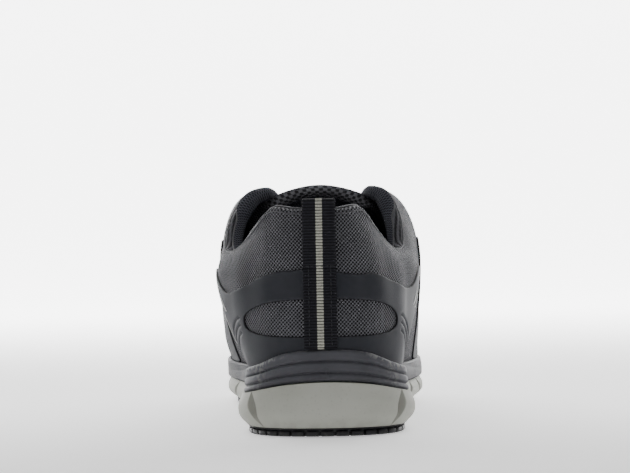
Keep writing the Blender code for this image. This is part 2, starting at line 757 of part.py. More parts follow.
# Toe guard, seen from the side: upper edge from the rand back to the toe's top
TOE_GUARD = ((0.255, 0.300), (0.285, 0.345), (0.325, 0.420), (0.365, 0.500), (0.40, 0.560), (0.56, 0.600))


def make_toe_guard():
    form = overlay_form("toe_guard", 0.70, 1.30, 0.0, 0.8, MATERIALS["overlay"])
    shape = []
    for side in (1, -1):
        line = rand_top_line(0.66, 1.0, side)
        shape.append(line)
    lower = [(a[0], max(a[1], b[1])) for a, b in zip(*shape)]
    ahead = [(0.56 * SHOE_LENGTH, lower[-1][1])]
    polygon = lower + ahead + side_polygon(TOE_GUARD[::-1])
    cut(form, prism("toe_guard_shape", polygon, 0, -BALL_WIDTH, BALL_WIDTH), "INTERSECT")
    return form


# Side panel between the eyestay and the rand, seen from the side
SIDE_PANEL = (
    (0.090, 0.300), (0.135, 0.300), (0.070, 0.560), (0.015, 0.760), (-0.040, 0.930),
    (-0.110, 0.985), (-0.080, 0.800), (-0.020, 0.560), (0.045, 0.400),
)


def make_side_panel(name, side):
    first, last = (0.40, 0.74) if side > 0 else (1.26, 1.60)
    form = overlay_form(name, first, last, 0.0, 0.78, MATERIALS["overlay"])
    places = np.linspace(0.50, 0.72, 8)
    edge = rand_edges(places)[1] + RAND_CLEARANCE
    places = places if side > 0 else 2 - places
    wall = upper_at(places, height_on_upper(places, edge), np.full(places.shape, GAP))
    floor = [(p[1], p[2]) for p in wall]
    shape = [(y, max(z, np.interp(y, *zip(*sorted(floor))))) for y, z in side_polygon(SIDE_PANEL)]
    cut(form, prism(name + "_shape", shape, 0, -BALL_WIDTH, BALL_WIDTH), "INTERSECT")
    return form


EYESTAY_ROWS = (0.82, 0.90, 0.975)
EYESTAY_TOP = 0.525


def make_eyestay(pins):
    first = math.ceil(EYESTAY_TOP * COLUMNS / 2)
    columns = np.arange(first, COLUMNS - first + 1)
    places = columns * 2.0 / COLUMNS
    lifts = np.full(places.shape, 1.4 * GAP)
    top = np.array([upper_at(places, np.full(places.shape, v), lifts + OVERLAY) for v in EYESTAY_ROWS])
    bottom = np.array([upper_at(places, np.full(places.shape, v), lifts) for v in EYESTAY_ROWS])
    body = solid("eyestay", *sheet_body(top, bottom), MATERIALS["overlay"])
    cut(body, pins, "DIFFERENCE")
    return body


# The tongue: under the vamp, up the throat and a little past its top, on the upper's own columns
TONGUE_FRONT = 0.975
TONGUE_TOP = 0.525
TONGUE_ROWS = LINING_ROWS[-3:]
TONGUE_GAP = 2.5 * GAP
TONGUE_ARCH = 6.0 * MM
TONGUE_ARCH_SPAN = 45.0 * MM
TONGUE_TOP_RISE = 7.0 * MM


def tongue_section(place, lift):
    """Nine points across the tongue, from the little-toe side to the arch side."""
    spots = []
    for at in (place, 2 - place):
        rows = np.array(TONGUE_ROWS)
        places = np.full(rows.shape, at)
        spots.append(upper_at(places, rows, -wall_thickness(places, rows) - TONGUE_GAP - lift))
    edge_a, edge_b = spots[0][-1], spots[1][-1]
    bridge = []
    for t in (0.25, 0.5, 0.75):
        point = edge_a + (edge_b - edge_a) * t
        width = np.linalg.norm(edge_a - edge_b)
        point[2] += TONGUE_ARCH * math.sin(math.pi * t) ** 1.45 * width / TONGUE_ARCH_SPAN
        bridge.append(point)
    return np.concatenate([spots[0], bridge, spots[1][::-1]])


def tongue_rows(lift):
    front, top = int(TONGUE_FRONT * COLUMNS / 2), math.ceil(TONGUE_TOP * COLUMNS / 2)
    rows = [tongue_section(k * 2.0 / COLUMNS, lift) for k in range(front, top - 1, -1)]
    along = (rows[-1] - rows[-2]).mean(0)
    last = rows[-1] + along / np.linalg.norm(along) * TONGUE_TOP_RISE
    last[[0, 1, -2, -1], 2] -= 0.5 * TONGUE_TOP_RISE
    last[[2, -3], 2] -= 0.3 * TONGUE_TOP_RISE
    return np.array(rows + [last])


def make_tongue():
    return solid(
        "tongue", *sheet_body(tongue_rows(0.0), tongue_rows(TONGUE_THICKNESS)), MATERIALS["tongue"]
    )


# The lace: criss-cross over the tongue, its hidden ends at the top eyelets


def lace_strip(start, end, start_up, end_up, hump):
    """A flat strip from one eyelet to the other, bowed over the tongue."""
    steps = 5
    middle_up = (start_up + end_up) / np.linalg.norm(start_up + end_up)
    along = (end - start) / np.linalg.norm(end - start)
    top, bottom = [], []
    for k in range(steps + 1):
        t = k / steps
        centre = start + (end - start) * t + middle_up * hump * math.sin(math.pi * t)
        up = start_up * (1 - t) ** 2 + middle_up * 2 * t * (1 - t) + end_up * t**2
        up /= np.linalg.norm(up)
        across = np.cross(up, along)
        across /= np.linalg.norm(across)
        side = across * LACE_WIDTH / 2
        thin = up * LACE_THICKNESS / 2
        top.append((centre - side + 0.6 * thin, centre + thin, centre + side + 0.6 * thin))
        bottom.append((centre - side - 0.6 * thin, centre - thin, centre + side - 0.6 * thin))
    return np.array(top), np.array(bottom)


LACE_LIFT = 1.5 * MM
LACE_HUMP = 5.0 * MM


def eyelet_seat(place):
    """Where the lace meets an eyelet, above the eyestay."""
    spot, v = np.array(place), np.array(EYELET_ROW)
    return upper_at(spot, v, np.array(GAP + OVERLAY + LACE_LIFT)), upper_normal(spot, v)


def make_lace():
    strips = []
    places = eyelet_places()[::-1]
    seats = [(eyelet_seat(p), eyelet_seat(2 - p)) for p in places]
    (a, na), (b, nb) = seats[0]
    strips.append(lace_strip(a, b, na, nb, LACE_HUMP * 0.7))
    for (low_a, low_b), (high_a, high_b) in zip(seats, seats[1:]):
        strips.append(lace_strip(low_a[0], high_b[0], low_a[1], high_b[1], LACE_HUMP))
        strips.append(lace_strip(low_b[0], high_a[0], low_b[1], high_a[1], LACE_HUMP + 0.75 * LACE_THICKNESS))
    body = None
    for k, (top, bottom) in enumerate(strips):
        name = "lace" if k == 0 else f"lace_strip_{k}"
        piece = solid(name, *sheet_body(top, bottom), MATERIALS["lace"])
        if k == 0:
            body = piece
        else:
            hide(piece)
            cut(body, piece, "UNION")
    return body


# The pull loop: webbing up the back of the heel, folded over above the collar and sewn down
# behind itself. Rows: height as a share of the collar's height, distance outside the heel
PULL_LOOP_FRONT = (
    (0.425, 1.00), (0.50, 1.00), (0.60, 1.00), (0.70, 1.00), (0.76, 1.05),
    (0.83, 1.45), (0.90, 2.00), (0.97, 2.25), (1.02, 2.10),
)
PULL_LOOP_BACK = ((1.02, 0.35), (0.95, 0.28), (0.87, 0.25), (0.79, 0.25))


def heel_line(z):
    """How far back the heel's surface lies at a height."""
    place = np.zeros(1)
    v = height_on_upper(place, np.array([min(z, 0.995 * COLLAR_HEIGHT)]))
    return upper(place, v)[0, 1]


def make_pull_loop():
    stand_off = 2 * GAP + OVERLAY + WEBBING / 2
    path = [(heel_line(z * COLLAR_HEIGHT) - d * stand_off, z * COLLAR_HEIGHT) for z, d in PULL_LOOP_FRONT]
    back = [(heel_line(z * COLLAR_HEIGHT) - GAP - WEBBING / 2 - d * MM, z * COLLAR_HEIGHT) for z, d in PULL_LOOP_BACK]
    crown = COLLAR_HEIGHT + PULL_LOOP_RISE
    first, last = path[-1], back[0]
    for t in (0.2, 0.5, 0.8):
        y = (first[0] + last[0]) / 2 - (last[0] - first[0]) / 2 * math.cos(math.pi * t)
        path.append((y, first[1] + (crown - WEBBING / 2 - first[1]) * math.sin(math.pi * t) ** 0.7))
    path = np.array(path + back)
    along = np.gradient(path, axis=0)
    along /= np.linalg.norm(along, axis=1, keepdims=True)
    normal = np.stack([-along[:, 1], along[:, 0]], -1)
    middle = float(top_line(0.0)[0])
    curve_radius = HEEL_WIDTH * 0.46
    outer, inner = [], []
    for (y, z), (ny, nz) in zip(path, normal):
        rows = ([], [])
        for w in (-0.5, -0.2, 0.2, 0.5):
            x = w * PULL_LOOP_WIDTH
            bend = x * x / (2 * curve_radius)
            for row, sign in zip(rows, (1, -1)):
                row.append((middle + x, y + bend + sign * ny * WEBBING / 2, z + sign * nz * WEBBING / 2))
        outer.append(rows[0])
        inner.append(rows[1])
    return solid("pull_loop", *sheet_body(np.array(outer), np.array(inner)), MATERIALS["webbing"])


MATERIALS = {}


def make_materials():
    MATERIALS["cutter"] = material("cutter", (0.8, 0.1, 0.1), 0.5)
    MATERIALS["mesh_fabric"] = material("mesh_fabric", (0.085, 0.085, 0.09), 0.85)
    MATERIALS["overlay"] = material("overlay", (0.028, 0.028, 0.033), 0.55)
    MATERIALS["rand"] = material("rand", (0.055, 0.055, 0.062), 0.6)
    MATERIALS["midsole"] = material("midsole", (0.36, 0.37, 0.34), 0.7)
    MATERIALS["outsole"] = material("outsole", (0.012, 0.012, 0.016), 0.6)
    MATERIALS["insole"] = material("insole", (0.03, 0.03, 0.035), 0.9)
    MATERIALS["tongue"] = material("tongue", (0.045, 0.045, 0.05), 0.9)
    MATERIALS["lace"] = material("lace", (0.02, 0.02, 0.022), 0.85)
    MATERIALS["webbing"] = material("webbing", (0.015, 0.015, 0.018), 0.8)


def build():
    clear_scene()
    make_materials()
    make_outsole()
    make_midsole()
    make_rand()
    make_insole()
    pins = eyelet_cutter("eyelet_pins")
    make_upper(pins)
    make_heel_counter()
    make_toe_guard()
    make_side_panel("side_panel_outer", 1)
    make_side_panel("side_panel_inner", -1)
    make_eyestay(pins)
    make_tongue()
    make_lace()
    make_pull_loop()


build()
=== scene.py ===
"""Safety sneaker, right shoe, empty and standing on its sole, seen from behind.

Metres, +Z up, toe towards +Y, little-toe side towards +X. A place runs round the sole's outline
from 0 at the heel's middle over 1 at the toe back to 2, the little-toe side first, or from -1 to
1. A length is the same in metres, negative on the arch side. v climbs the upper from 0 to 1.
"""

import math

import bmesh
import bpy
import numpy as np
from mathutils.geometry import delaunay_2d_cdt
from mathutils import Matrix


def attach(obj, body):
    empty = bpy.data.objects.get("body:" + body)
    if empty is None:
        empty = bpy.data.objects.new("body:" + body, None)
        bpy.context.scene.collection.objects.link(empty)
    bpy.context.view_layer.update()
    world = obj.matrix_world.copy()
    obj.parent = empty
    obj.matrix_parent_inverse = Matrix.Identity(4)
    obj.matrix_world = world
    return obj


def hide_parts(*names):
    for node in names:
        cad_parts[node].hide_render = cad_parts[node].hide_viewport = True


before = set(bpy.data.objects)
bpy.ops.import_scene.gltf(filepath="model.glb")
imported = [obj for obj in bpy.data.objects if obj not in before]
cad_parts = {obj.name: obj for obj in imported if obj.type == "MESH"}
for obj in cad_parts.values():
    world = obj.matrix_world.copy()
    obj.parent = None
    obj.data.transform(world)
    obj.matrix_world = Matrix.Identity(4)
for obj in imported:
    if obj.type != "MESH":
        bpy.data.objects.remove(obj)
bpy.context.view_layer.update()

MM = 0.001

# The shoe's own sizes, as in the solids
SHOE_LENGTH = 300 * MM
HEEL_WIDTH = 83 * MM
WAIST_WIDTH = 77 * MM
BALL_WIDTH = 106.5 * MM
TOE_WIDTH = 103 * MM
TOE_SWING = -7 * MM
HEEL_ROUNDING = 42 * MM
TOE_ROUNDING = 78 * MM
TOE_POWER = 2.25
HEEL_STACK = 28 * MM
FOREFOOT_STACK = 19 * MM
TOE_SPRING = 15 * MM
HEEL_BEVEL = 0.8 * MM
ARCH_RISE = 3 * MM
COLLAR_HEIGHT = 102.5 * MM
INSTEP_HEIGHT = 116.5 * MM
COLLAR_WIDTH = 98 * MM
COLLAR_SWING = -2.4 * MM
VAMP_HEIGHT = 74.5 * MM
SIDE_BULGE = 12 * MM
WALL = 2.6 * MM
COLLAR_PAD = 6.4 * MM
GAP = 0.3 * MM
OVERLAY = 1.2 * MM
OUTSOLE_SHEET = 1.5 * MM
LUG_DEPTH = 2.1 * MM
INSOLE_THICKNESS = 4.5 * MM
TONGUE_THICKNESS = 5 * MM
WEBBING = 1.3 * MM
PULL_LOOP_WIDTH = 15 * MM
PULL_LOOP_RISE = 6 * MM
LACE_WIDTH = 6 * MM
LACE_THICKNESS = 2 * MM
EYELET_RADIUS = 2.4 * MM
EYELET_PAIRS = 5

# Share of the length, width, swing to the little-toe side
SOLE_SECTIONS = (
    (0.00, HEEL_WIDTH, 0),
    (0.18, HEEL_WIDTH, 0),
    (0.40, WAIST_WIDTH, 0.02 * WAIST_WIDTH),
    (0.53, (WAIST_WIDTH + BALL_WIDTH) / 2, 0.02 * WAIST_WIDTH),
    (0.68, BALL_WIDTH, -0.06 * TOE_SWING),
    (0.85, TOE_WIDTH, 0.5 * TOE_SWING),
    (1.00, TOE_WIDTH, TOE_SWING),
)
# Share of the length, height of the tread, height of the foot's seat
SOLE_HEIGHTS = (
    (0.00, HEEL_BEVEL, HEEL_STACK),
    (0.045, 0.3 * HEEL_BEVEL, HEEL_STACK),
    (0.09, 0, HEEL_STACK),
    (0.32, 0, 0.96 * HEEL_STACK),
    (0.44, ARCH_RISE, 0.88 * HEEL_STACK),
    (0.55, 0, 0.5 * (0.78 * HEEL_STACK + FOREFOOT_STACK)),
    (0.68, 0, FOREFOOT_STACK),
    (0.78, 0, FOREFOOT_STACK),
    (0.86, 0.16 * TOE_SPRING, FOREFOOT_STACK + 0.12 * TOE_SPRING),
    (0.93, 0.50 * TOE_SPRING, FOREFOOT_STACK + 0.34 * TOE_SPRING),
    (1.00, TOE_SPRING, FOREFOOT_STACK + 0.62 * TOE_SPRING),
)
RAND_HEEL = 14.6 * MM
RAND_SIDE = 10 * MM
RAND_TOE = 13 * MM
RAND_SEAT = 0.5 * MM
# Place, lower edge, height of the rand
RAND_SECTIONS = (
    (0.00, 0.915 * HEEL_STACK, RAND_HEEL),
    (0.09, 0.86 * HEEL_STACK, 0.97 * RAND_HEEL),
    (0.17, 0.74 * HEEL_STACK, 0.84 * RAND_HEEL),
    (0.26, 0.63 * HEEL_STACK, 0.80 * RAND_HEEL),
    (0.40, 0.57 * HEEL_STACK, RAND_SIDE),
    (0.52, 0.53 * HEEL_STACK, RAND_SIDE),
    (0.64, 0.77 * FOREFOOT_STACK, RAND_SIDE),
    (0.75, 0.78 * FOREFOOT_STACK, RAND_SIDE),
    (0.83, 0.82 * FOREFOOT_STACK, RAND_SIDE),
    (0.91, 0.98 * FOREFOOT_STACK, 0.9 * RAND_TOE),
    (1.00, 1.16 * FOREFOOT_STACK, RAND_TOE),
)
# The upper's top edge: place, share of the collar's width to each side, share of the length,
# share of a height
TOP_LINE = (
    (0.00, 0.000, 0.000, -0.477, 1.000, COLLAR_HEIGHT),
    (0.07, 0.125, 0.130, -0.468, 1.006, COLLAR_HEIGHT),
    (0.13, 0.205, 0.230, -0.434, 1.012, COLLAR_HEIGHT),
    (0.19, 0.275, 0.315, -0.387, 0.925, COLLAR_HEIGHT),
    (0.25, 0.335, 0.380, -0.333, 0.855, COLLAR_HEIGHT),
    (0.31, 0.385, 0.440, -0.277, 0.825, COLLAR_HEIGHT),
    (0.37, 0.415, 0.470, -0.223, 0.858, COLLAR_HEIGHT),
    (0.43, 0.400, 0.440, -0.180, 0.880, INSTEP_HEIGHT),
    (0.475, 0.340, 0.360, -0.150, 0.975, INSTEP_HEIGHT),
    (0.51, 0.262, 0.268, -0.118, 0.995, INSTEP_HEIGHT),
    (0.56, 0.210, 0.205, -0.060, 0.948, INSTEP_HEIGHT),
    (0.65, 0.175, 0.165, 0.033, 1.320, VAMP_HEIGHT),
    (0.75, 0.150, 0.140, 0.103, 1.180, VAMP_HEIGHT),
    (0.85, 0.115, 0.110, 0.153, 1.080, VAMP_HEIGHT),
    (0.93, 0.060, 0.058, 0.182, 1.020, VAMP_HEIGHT),
    (1.00, 0.000, 0.000, 0.192, 1.000, VAMP_HEIGHT),
)
# Place, inset at the foot and at the widest part of each side, level of that part, and how the
# wall stands there, rolls in and rises at the top
SECTIONS = (
    (0.00, 0.50, 0.28, 0.28, 0.32, 1.10, -0.80, 1.00),
    (0.07, 0.60, 0.42, 0.38, 0.34, 1.10, -0.60, 1.00),
    (0.13, 0.68, 0.56, 0.42, 0.42, 1.10, 0.20, 0.90),
    (0.19, 0.66, 0.60, 0.34, 0.52, 1.10, 0.60, 0.70),
    (0.25, 0.56, 0.32, -0.18, 0.70, 1.05, 1.20, 0.60),
    (0.31, 0.46, -0.25, -0.88, 0.80, 1.00, 1.40, 0.40),
    (0.37, 0.40, -0.62, -1.18, 0.76, 1.10, 1.50, 0.35),
    (0.43, 0.36, -0.64, -1.18, 0.63, 1.40, 1.60, 0.20),
    (0.475, 0.35, -0.54, -1.10, 0.59, 1.50, 1.60, 0.15),
    (0.51, 0.34, -0.28, -0.86, 0.52, 1.45, 1.55, 0.20),
    (0.58, 0.30, 0.12, -0.36, 0.40, 1.30, 1.35, 0.40),
    (0.65, 0.26, 0.20, 0.00, 0.32, 1.30, 1.30, 0.50),
    (0.75, 0.24, 0.12, 0.10, 0.30, 1.45, 1.30, 0.45),
    (0.85, 0.26, 0.14, 0.14, 0.28, 1.70, 1.25, 0.40),
    (1.00, 0.30, 0.16, 0.16, 0.28, 2.10, 1.20, 0.50),
)
# v, share of the collar's padding, and the places between which it fades
PAD_SECTIONS = ((0.0, 0.0), (0.35, 0.0), (0.6, 0.75), (0.8, 1.0), (0.93, 0.95), (1.0, 0.8))
PAD_ENDS = (0.47, 0.55)

# Soft troughs across the ball, where the shoe bends: share of the length in front of the
# middle, how far they run forward towards the sides, depth, half width
CREASES = (
    (0.085, 0.30, 1.5 * MM, 4.5 * MM),
    (0.132, 0.14, 1.9 * MM, 5.0 * MM),
    (0.182, -0.04, 1.2 * MM, 4.5 * MM),
)
# Soft hollows in the quarters, in millimetres: length, height, depth, half length, half height
HOLLOWS = ((118, 64, 0.9, 20, 9), (-120, 62, 0.9, 20, 9), (150, 52, 0.7, 16, 7), (-152, 54, 0.7, 16, 7))


def make_camera():
    data = bpy.data.cameras.new("camera")
    data.sensor_width = 36.0
    data.lens = 114.286
    camera = bpy.data.objects.new("camera", data)
    camera.location = (-4.2 * MM, -1050.0 * MM, 91.3 * MM)
    camera.rotation_euler = (math.radians(90.0), math.radians(1.0), 0.0)
    bpy.context.scene.collection.objects.link(camera)
    bpy.context.scene.camera = camera


make_camera()


# Curves and directions


def step(low, high, at):
    """Rises smoothly from 0 at low to 1 at high."""
    t = np.clip((at - low) / (high - low), 0.0, 1.0)
    return t * t * (3 - 2 * t)


def hermite(start, end, leave, arrive, t):
    bends = leave * t * (1 - t) ** 2 - arrive * t * t * (1 - t)
    return start + (end - start) * t * t * (3 - 2 * t) + bends


def smooth(knots, values, at):
    """A smooth curve through the values, level past its ends."""
    knots, values = np.asarray(knots, float), np.asarray(values, float)
    slopes = np.gradient(values, knots)
    i = np.clip(np.searchsorted(knots, at, side="right") - 1, 0, len(knots) - 2)
    span = knots[i + 1] - knots[i]
    t = np.clip((at - knots[i]) / span, 0.0, 1.0)
    return hermite(values[i], values[i + 1], slopes[i] * span, slopes[i + 1] * span, t)


def around(places, outer, at, inner=None):
    """A smooth closed curve round the shoe. inner holds the arch side's values, if others."""
    places, inner = np.asarray(places, float), outer if inner is None else inner
    knots = np.concatenate([places, 2 - places[-2:0:-1]])
    values = np.concatenate([outer, inner[-2:0:-1]])
    knots = np.concatenate([knots[-3:] - 2, knots, knots[:4] + 2])
    return smooth(knots, np.concatenate([values[-3:], values, values[:4]]), np.mod(at, 2.0))


def spread(*values):
    return np.broadcast_arrays(*(np.asarray(value, float) for value in values))


def unit(vectors):
    return vectors / np.linalg.norm(vectors, axis=-1, keepdims=True)


def slope(line):
    return unit(np.gradient(line, axis=0))


def turned(flat):
    """Directions on a plane, a quarter turn to the left."""
    return np.stack([-flat[..., 1], flat[..., 0]], -1)


def with_height(flat, z):
    return np.concatenate([flat, np.broadcast_to(np.asarray(z)[..., None], flat.shape[:-1] + (1,))], -1)


def travelled(line):
    """Distance along a line at each of its points."""
    return np.concatenate([[0], np.cumsum(np.linalg.norm(np.diff(line, axis=0), axis=-1))])


def circle(count):
    turns = np.linspace(0, 2 * math.pi, count, endpoint=False)
    return np.cos(turns), np.sin(turns)


def squared(wave, power):
    """A sine or cosine for an outline fuller than an ellipse."""
    return np.sign(wave) * np.abs(wave) ** power


# The form of the shoe


def from_heel(place):
    """The place on its own side, 0 to 1."""
    return np.abs((place + 1) % 2 - 1)


def share_of_length(place):
    return (1 - np.cos(math.pi * place)) / 2


def outline(place):
    """The sole's widest outline."""
    share = share_of_length(place)
    stations, widths, swings = zip(*SOLE_SECTIONS)
    heel = np.clip(share * SHOE_LENGTH / HEEL_ROUNDING, 0, 1)
    toe = np.clip((1 - share) * SHOE_LENGTH / TOE_ROUNDING, 0, 1)
    rounding = np.sqrt(1 - (1 - heel) ** 2) * (1 - (1 - toe) ** TOE_POWER) ** (1 / TOE_POWER)
    half = np.where(np.mod(place, 2) <= 1, 0.5, -0.5) * smooth(stations, widths, share)
    x = smooth(stations, swings, share) + half * rounding
    return np.stack([x, (share - 0.5) * SHOE_LENGTH], -1)


def outward(place):
    return -turned(unit(outline(place + 1e-3) - outline(place - 1e-3)))


def ring(place, inset):
    """The outline moved inwards by inset."""
    return outline(place) - outward(place) * np.asarray(inset)[..., None]


def sole_height(y, column):
    stations, *heights = zip(*SOLE_HEIGHTS)
    return smooth(stations, heights[column], y / SHOE_LENGTH + 0.5)


def under_sole(y):
    return np.maximum(sole_height(y, 0), 0.0)


def seat(y):
    return sole_height(y, 1)


def rand_edges(place):
    places, lower, height = zip(*RAND_SECTIONS)
    bottom = around(places, lower, place)
    return bottom, bottom + around(places, height, place)


def top_line(place):
    places, outer, inner, along, up, height = (np.array(c) for c in zip(*TOP_LINE))
    swing = COLLAR_SWING * np.clip(1.2 - share_of_length(place), 0.3, 1.0)
    x = COLLAR_WIDTH * around(places, outer, place, -inner) + swing
    y = SHOE_LENGTH * around(places, along, place)
    return np.stack([x, y, around(places, up * height, place)], -1)


def foot_inset(place):
    places, foot, *_ = zip(*SECTIONS)
    return SIDE_BULGE * around(places, foot, place)


def upper(place, v):
    """The outer surface of the upper."""
    place, v = spread(place, v)
    places, _, outer, inner, *rest = zip(*SECTIONS)
    share, upright, roll, rise = (around(places, column, place) for column in rest)
    foot = ring(place, foot_inset(place))
    foot = with_height(foot, seat(foot[..., 1]) + GAP)
    top = top_line(place)
    wall = (top - foot)[..., 2]
    widest = ring(place, SIDE_BULGE * around(places, outer, place, inner))
    widest = with_height(widest, foot[..., 2] + share * wall)
    stand = with_height(np.zeros(place.shape + (2,)), wall * upright)
    leave = (widest - foot) * (1.6, 1.6, 1.0)
    reach = (top - widest) * np.stack([roll, roll, rise], -1)
    knee = np.clip(0.25 + 0.5 * share, 0.2, 0.8)[..., None]
    t = v[..., None]
    below = hermite(foot, widest, leave, stand * knee, np.clip(t / knee, 0, 1))
    above = hermite(widest, top, stand * (1 - knee), reach, np.clip((t - knee) / (1 - knee), 0, 1))
    return np.where(t < knee, below, above)


def upper_normal(place, v):
    """Outward direction of the upper's surface."""
    place, v = spread(place, v)
    climb = upper(place, np.clip(v + 2e-3, 0, 1)) - upper(place, np.clip(v - 2e-3, 0, 1))
    normal = unit(np.cross(climb, upper(place + 2e-3, v) - upper(place - 2e-3, v)))
    return normal * np.sign((normal * with_height(outward(place), 0.6)).sum(-1, keepdims=True))


def wall_thickness(place, v):
    """Shell and lining, with the foam of the padded collar."""
    fade = np.clip((PAD_ENDS[1] - from_heel(place)) / (PAD_ENDS[1] - PAD_ENDS[0]), 0, 1)
    return WALL + COLLAR_PAD * fade * smooth(*zip(*PAD_SECTIONS), v)


def inner_point(place, v, away=0.0):
    """A point away inside the upper's wall."""
    place, v = spread(place, v)
    return upper(place, v) - upper_normal(place, v) * (wall_thickness(place, v) + away)[..., None]


SIDE_PLACES = np.linspace(0, 1, 2001)
SIDE_LENGTHS = travelled(outline(SIDE_PLACES))
SIDE_LENGTH = SIDE_LENGTHS[-1]


def place_at(length):
    """The place at a length, past the toe where the length is more than a side's."""
    side = np.abs(length)
    past = side > SIDE_LENGTH
    place = np.interp(np.where(past, 2 * SIDE_LENGTH - side, side), SIDE_LENGTHS, SIDE_PLACES)
    return np.sign(length) * np.where(past, 2 - place, place)


def length_at(place):
    return np.sign(place) * np.interp(np.abs(place), SIDE_PLACES, SIDE_LENGTHS)


def climb_to(place, z):
    """v at a height."""
    place, z = spread(place, z)
    low, high = np.zeros(place.shape), np.ones(place.shape)
    for _ in range(18):
        middle = (low + high) / 2
        below = upper(place, middle)[..., 2] < z
        low, high = np.where(below, middle, low), np.where(below, high, middle)
    return (low + high) / 2


def relief(points, place, v):
    """Creases and hollows of the worn form, as a distance along the surface's normal."""
    x, y, z = np.moveaxis(points, -1, 0)
    depth = np.zeros(y.shape)
    for along, forward, deep, half in CREASES:
        away = (y - SHOE_LENGTH * along - forward * np.abs(x)) / half
        depth += deep * (0.45 * np.exp(-((away - 1.9) ** 2)) - np.exp(-(away**2)))
    depth *= step(0.1, 0.35, v) * (1 - step(0.74, 0.86, v))
    length = length_at((place + 1) % 2 - 1) / MM
    for centre, height, deep, half_length, half_height in HOLLOWS:
        away = ((length - centre) / half_length) ** 2 + ((z / MM - height) / half_height) ** 2
        depth -= deep * MM * np.exp(-away)
    return depth


def skin(place, v, lift):
    """A point lift outside the upper with its creases."""
    place, v = spread(place, v)
    base = upper(place, v)
    return base + upper_normal(place, v) * (lift + relief(base, place, v))[..., None]


# Sheets laid on the upper's wall are laid out flat first, with length across and v up
WALL_SCALE = 80 * MM


def wall_point(length, height):
    """A place on the flat wall."""
    return np.stack([length, climb_to(place_at(length), height) * WALL_SCALE], -1)


def in_mm(points):
    return wall_point(*(np.array(points) * MM).T)


# Meshes


def new_object(name, points, faces, finish, sharp=60.0):
    mesh = bpy.data.meshes.new(name)
    mesh.from_pydata(np.asarray(points).reshape(-1, 3).tolist(), [], faces)
    mesh.materials.append(finish)
    mesh.shade_smooth()
    mesh.set_sharp_from_angle(angle=math.radians(sharp))
    made = bpy.data.objects.new(name, mesh)
    bpy.context.scene.collection.objects.link(made)
    return made


def set_uv(made, per_corner, name="length"):
    layer = made.data.uv_layers.new(name=name)
    layer.data.foreach_set("uv", np.asarray(per_corner, np.float32).ravel())


def set_value(made, name, values):
    layer = made.data.attributes.new(name, "FLOAT", "POINT")
    layer.data.foreach_set("value", np.asarray(values, np.float32).ravel())


def mend(made, close=False):
    """Turns the faces outwards, after the open rings of a body are closed."""
    work = bmesh.new()
    work.from_mesh(made.data)
    if close:
        bmesh.ops.holes_fill(work, edges=[e for e in work.edges if e.is_boundary], sides=0)
    bmesh.ops.recalc_face_normals(work, faces=work.faces)
    work.to_mesh(made.data)
    work.free()
    return made


def quads(rows, columns, base=0, round_rows=False, round_columns=False):
    """Faces of a grid of points whose first has the number base."""
    counts = range(rows - (not round_rows)), range(columns - (not round_columns))
    r, c = (k.ravel() for k in np.meshgrid(*counts, indexing="ij"))
    r2, c2 = (r + 1) % rows, (c + 1) % columns
    corners = [r * columns + c, r * columns + c2, r2 * columns + c2, r2 * columns + c]
    return (np.stack(corners, -1) + base).tolist()


def grid_uv(grid, round_rows, round_columns):
    """Lengths along and across a grid."""
    if round_columns:
        grid = np.concatenate([grid, grid[:, :1]], 1)
    if round_rows:
        grid = np.concatenate([grid, grid[:1]], 0)
    steps = [np.linalg.norm(np.diff(grid, axis=1 - k), axis=-1).mean(k) for k in (0, 1)]
    return np.stack(np.meshgrid(*(np.concatenate([[0], np.cumsum(k)]) for k in steps)), -1)


def grid_object(name, grid, finish, sharp=60.0, closed=True, caps=False, round_rows=False, uv=None):
    """An object from a grid of points, whose columns run round it where it is closed. uv holds a
    pair for each point, with one more row or column where the grid closes on itself."""
    rows, columns = grid.shape[:2]
    if uv is None:
        uv = grid_uv(grid, round_rows, closed)
    made = new_object(name, grid, quads(rows, columns, 0, round_rows, closed), finish, sharp)
    corners = quads(uv.shape[0], uv.shape[1])
    set_uv(made, uv.reshape(-1, 2)[np.array(corners)])
    mend(made)
    return mend(made, True) if caps else made


def inside(loop, points):
    """Whether points lie inside a closed line."""
    found = np.zeros(len(points), bool)
    for (ax, ay), (bx, by) in zip(loop, np.roll(loop, -1, 0)):
        crosses = (ay > points[:, 1]) != (by > points[:, 1])
        at = ax + (points[:, 1] - ay) / (by - ay if by != ay else 1e-12) * (bx - ax)
        found ^= crosses & (points[:, 0] < at)
    return found


def within(loops, points):
    """Whether points lie inside the first closed line and outside the others."""
    return inside(loops[0], points) & ~np.any([inside(k, points) for k in loops[1:]] or [[False]], 0)


def distance_to(lines, points, closed=True):
    """Distance of points from the nearest of some lines."""
    nearest = np.full(len(points), 1e9)
    for line in lines:
        for a, b in zip(line, np.roll(line, -1, 0) if closed else line[1:]):
            span = b - a
            t = np.clip(((points - a) @ span) / max(span @ span, 1e-18), 0, 1)
            nearest = np.minimum(nearest, np.linalg.norm(points - a - t[:, None] * span, axis=1))
    return nearest


def even_line(points, spacing, closed=True):
    """The same line with even steps."""
    points = np.asarray(points, float)
    if closed:
        points = np.concatenate([points, points[:1]])
    at = travelled(points)
    even = np.linspace(0, at[-1], max(int(round(at[-1] / spacing)), 3) + 1)
    line = np.stack([np.interp(even, at, column) for column in points.T], -1)
    return line[:-1] if closed else line


# Overlay sheets: thickness, width of the rounded edge, how far the edge sinks in
FILM = 0.85 * MM
EDGE = 0.55 * MM
TUCK = 0.12 * MM


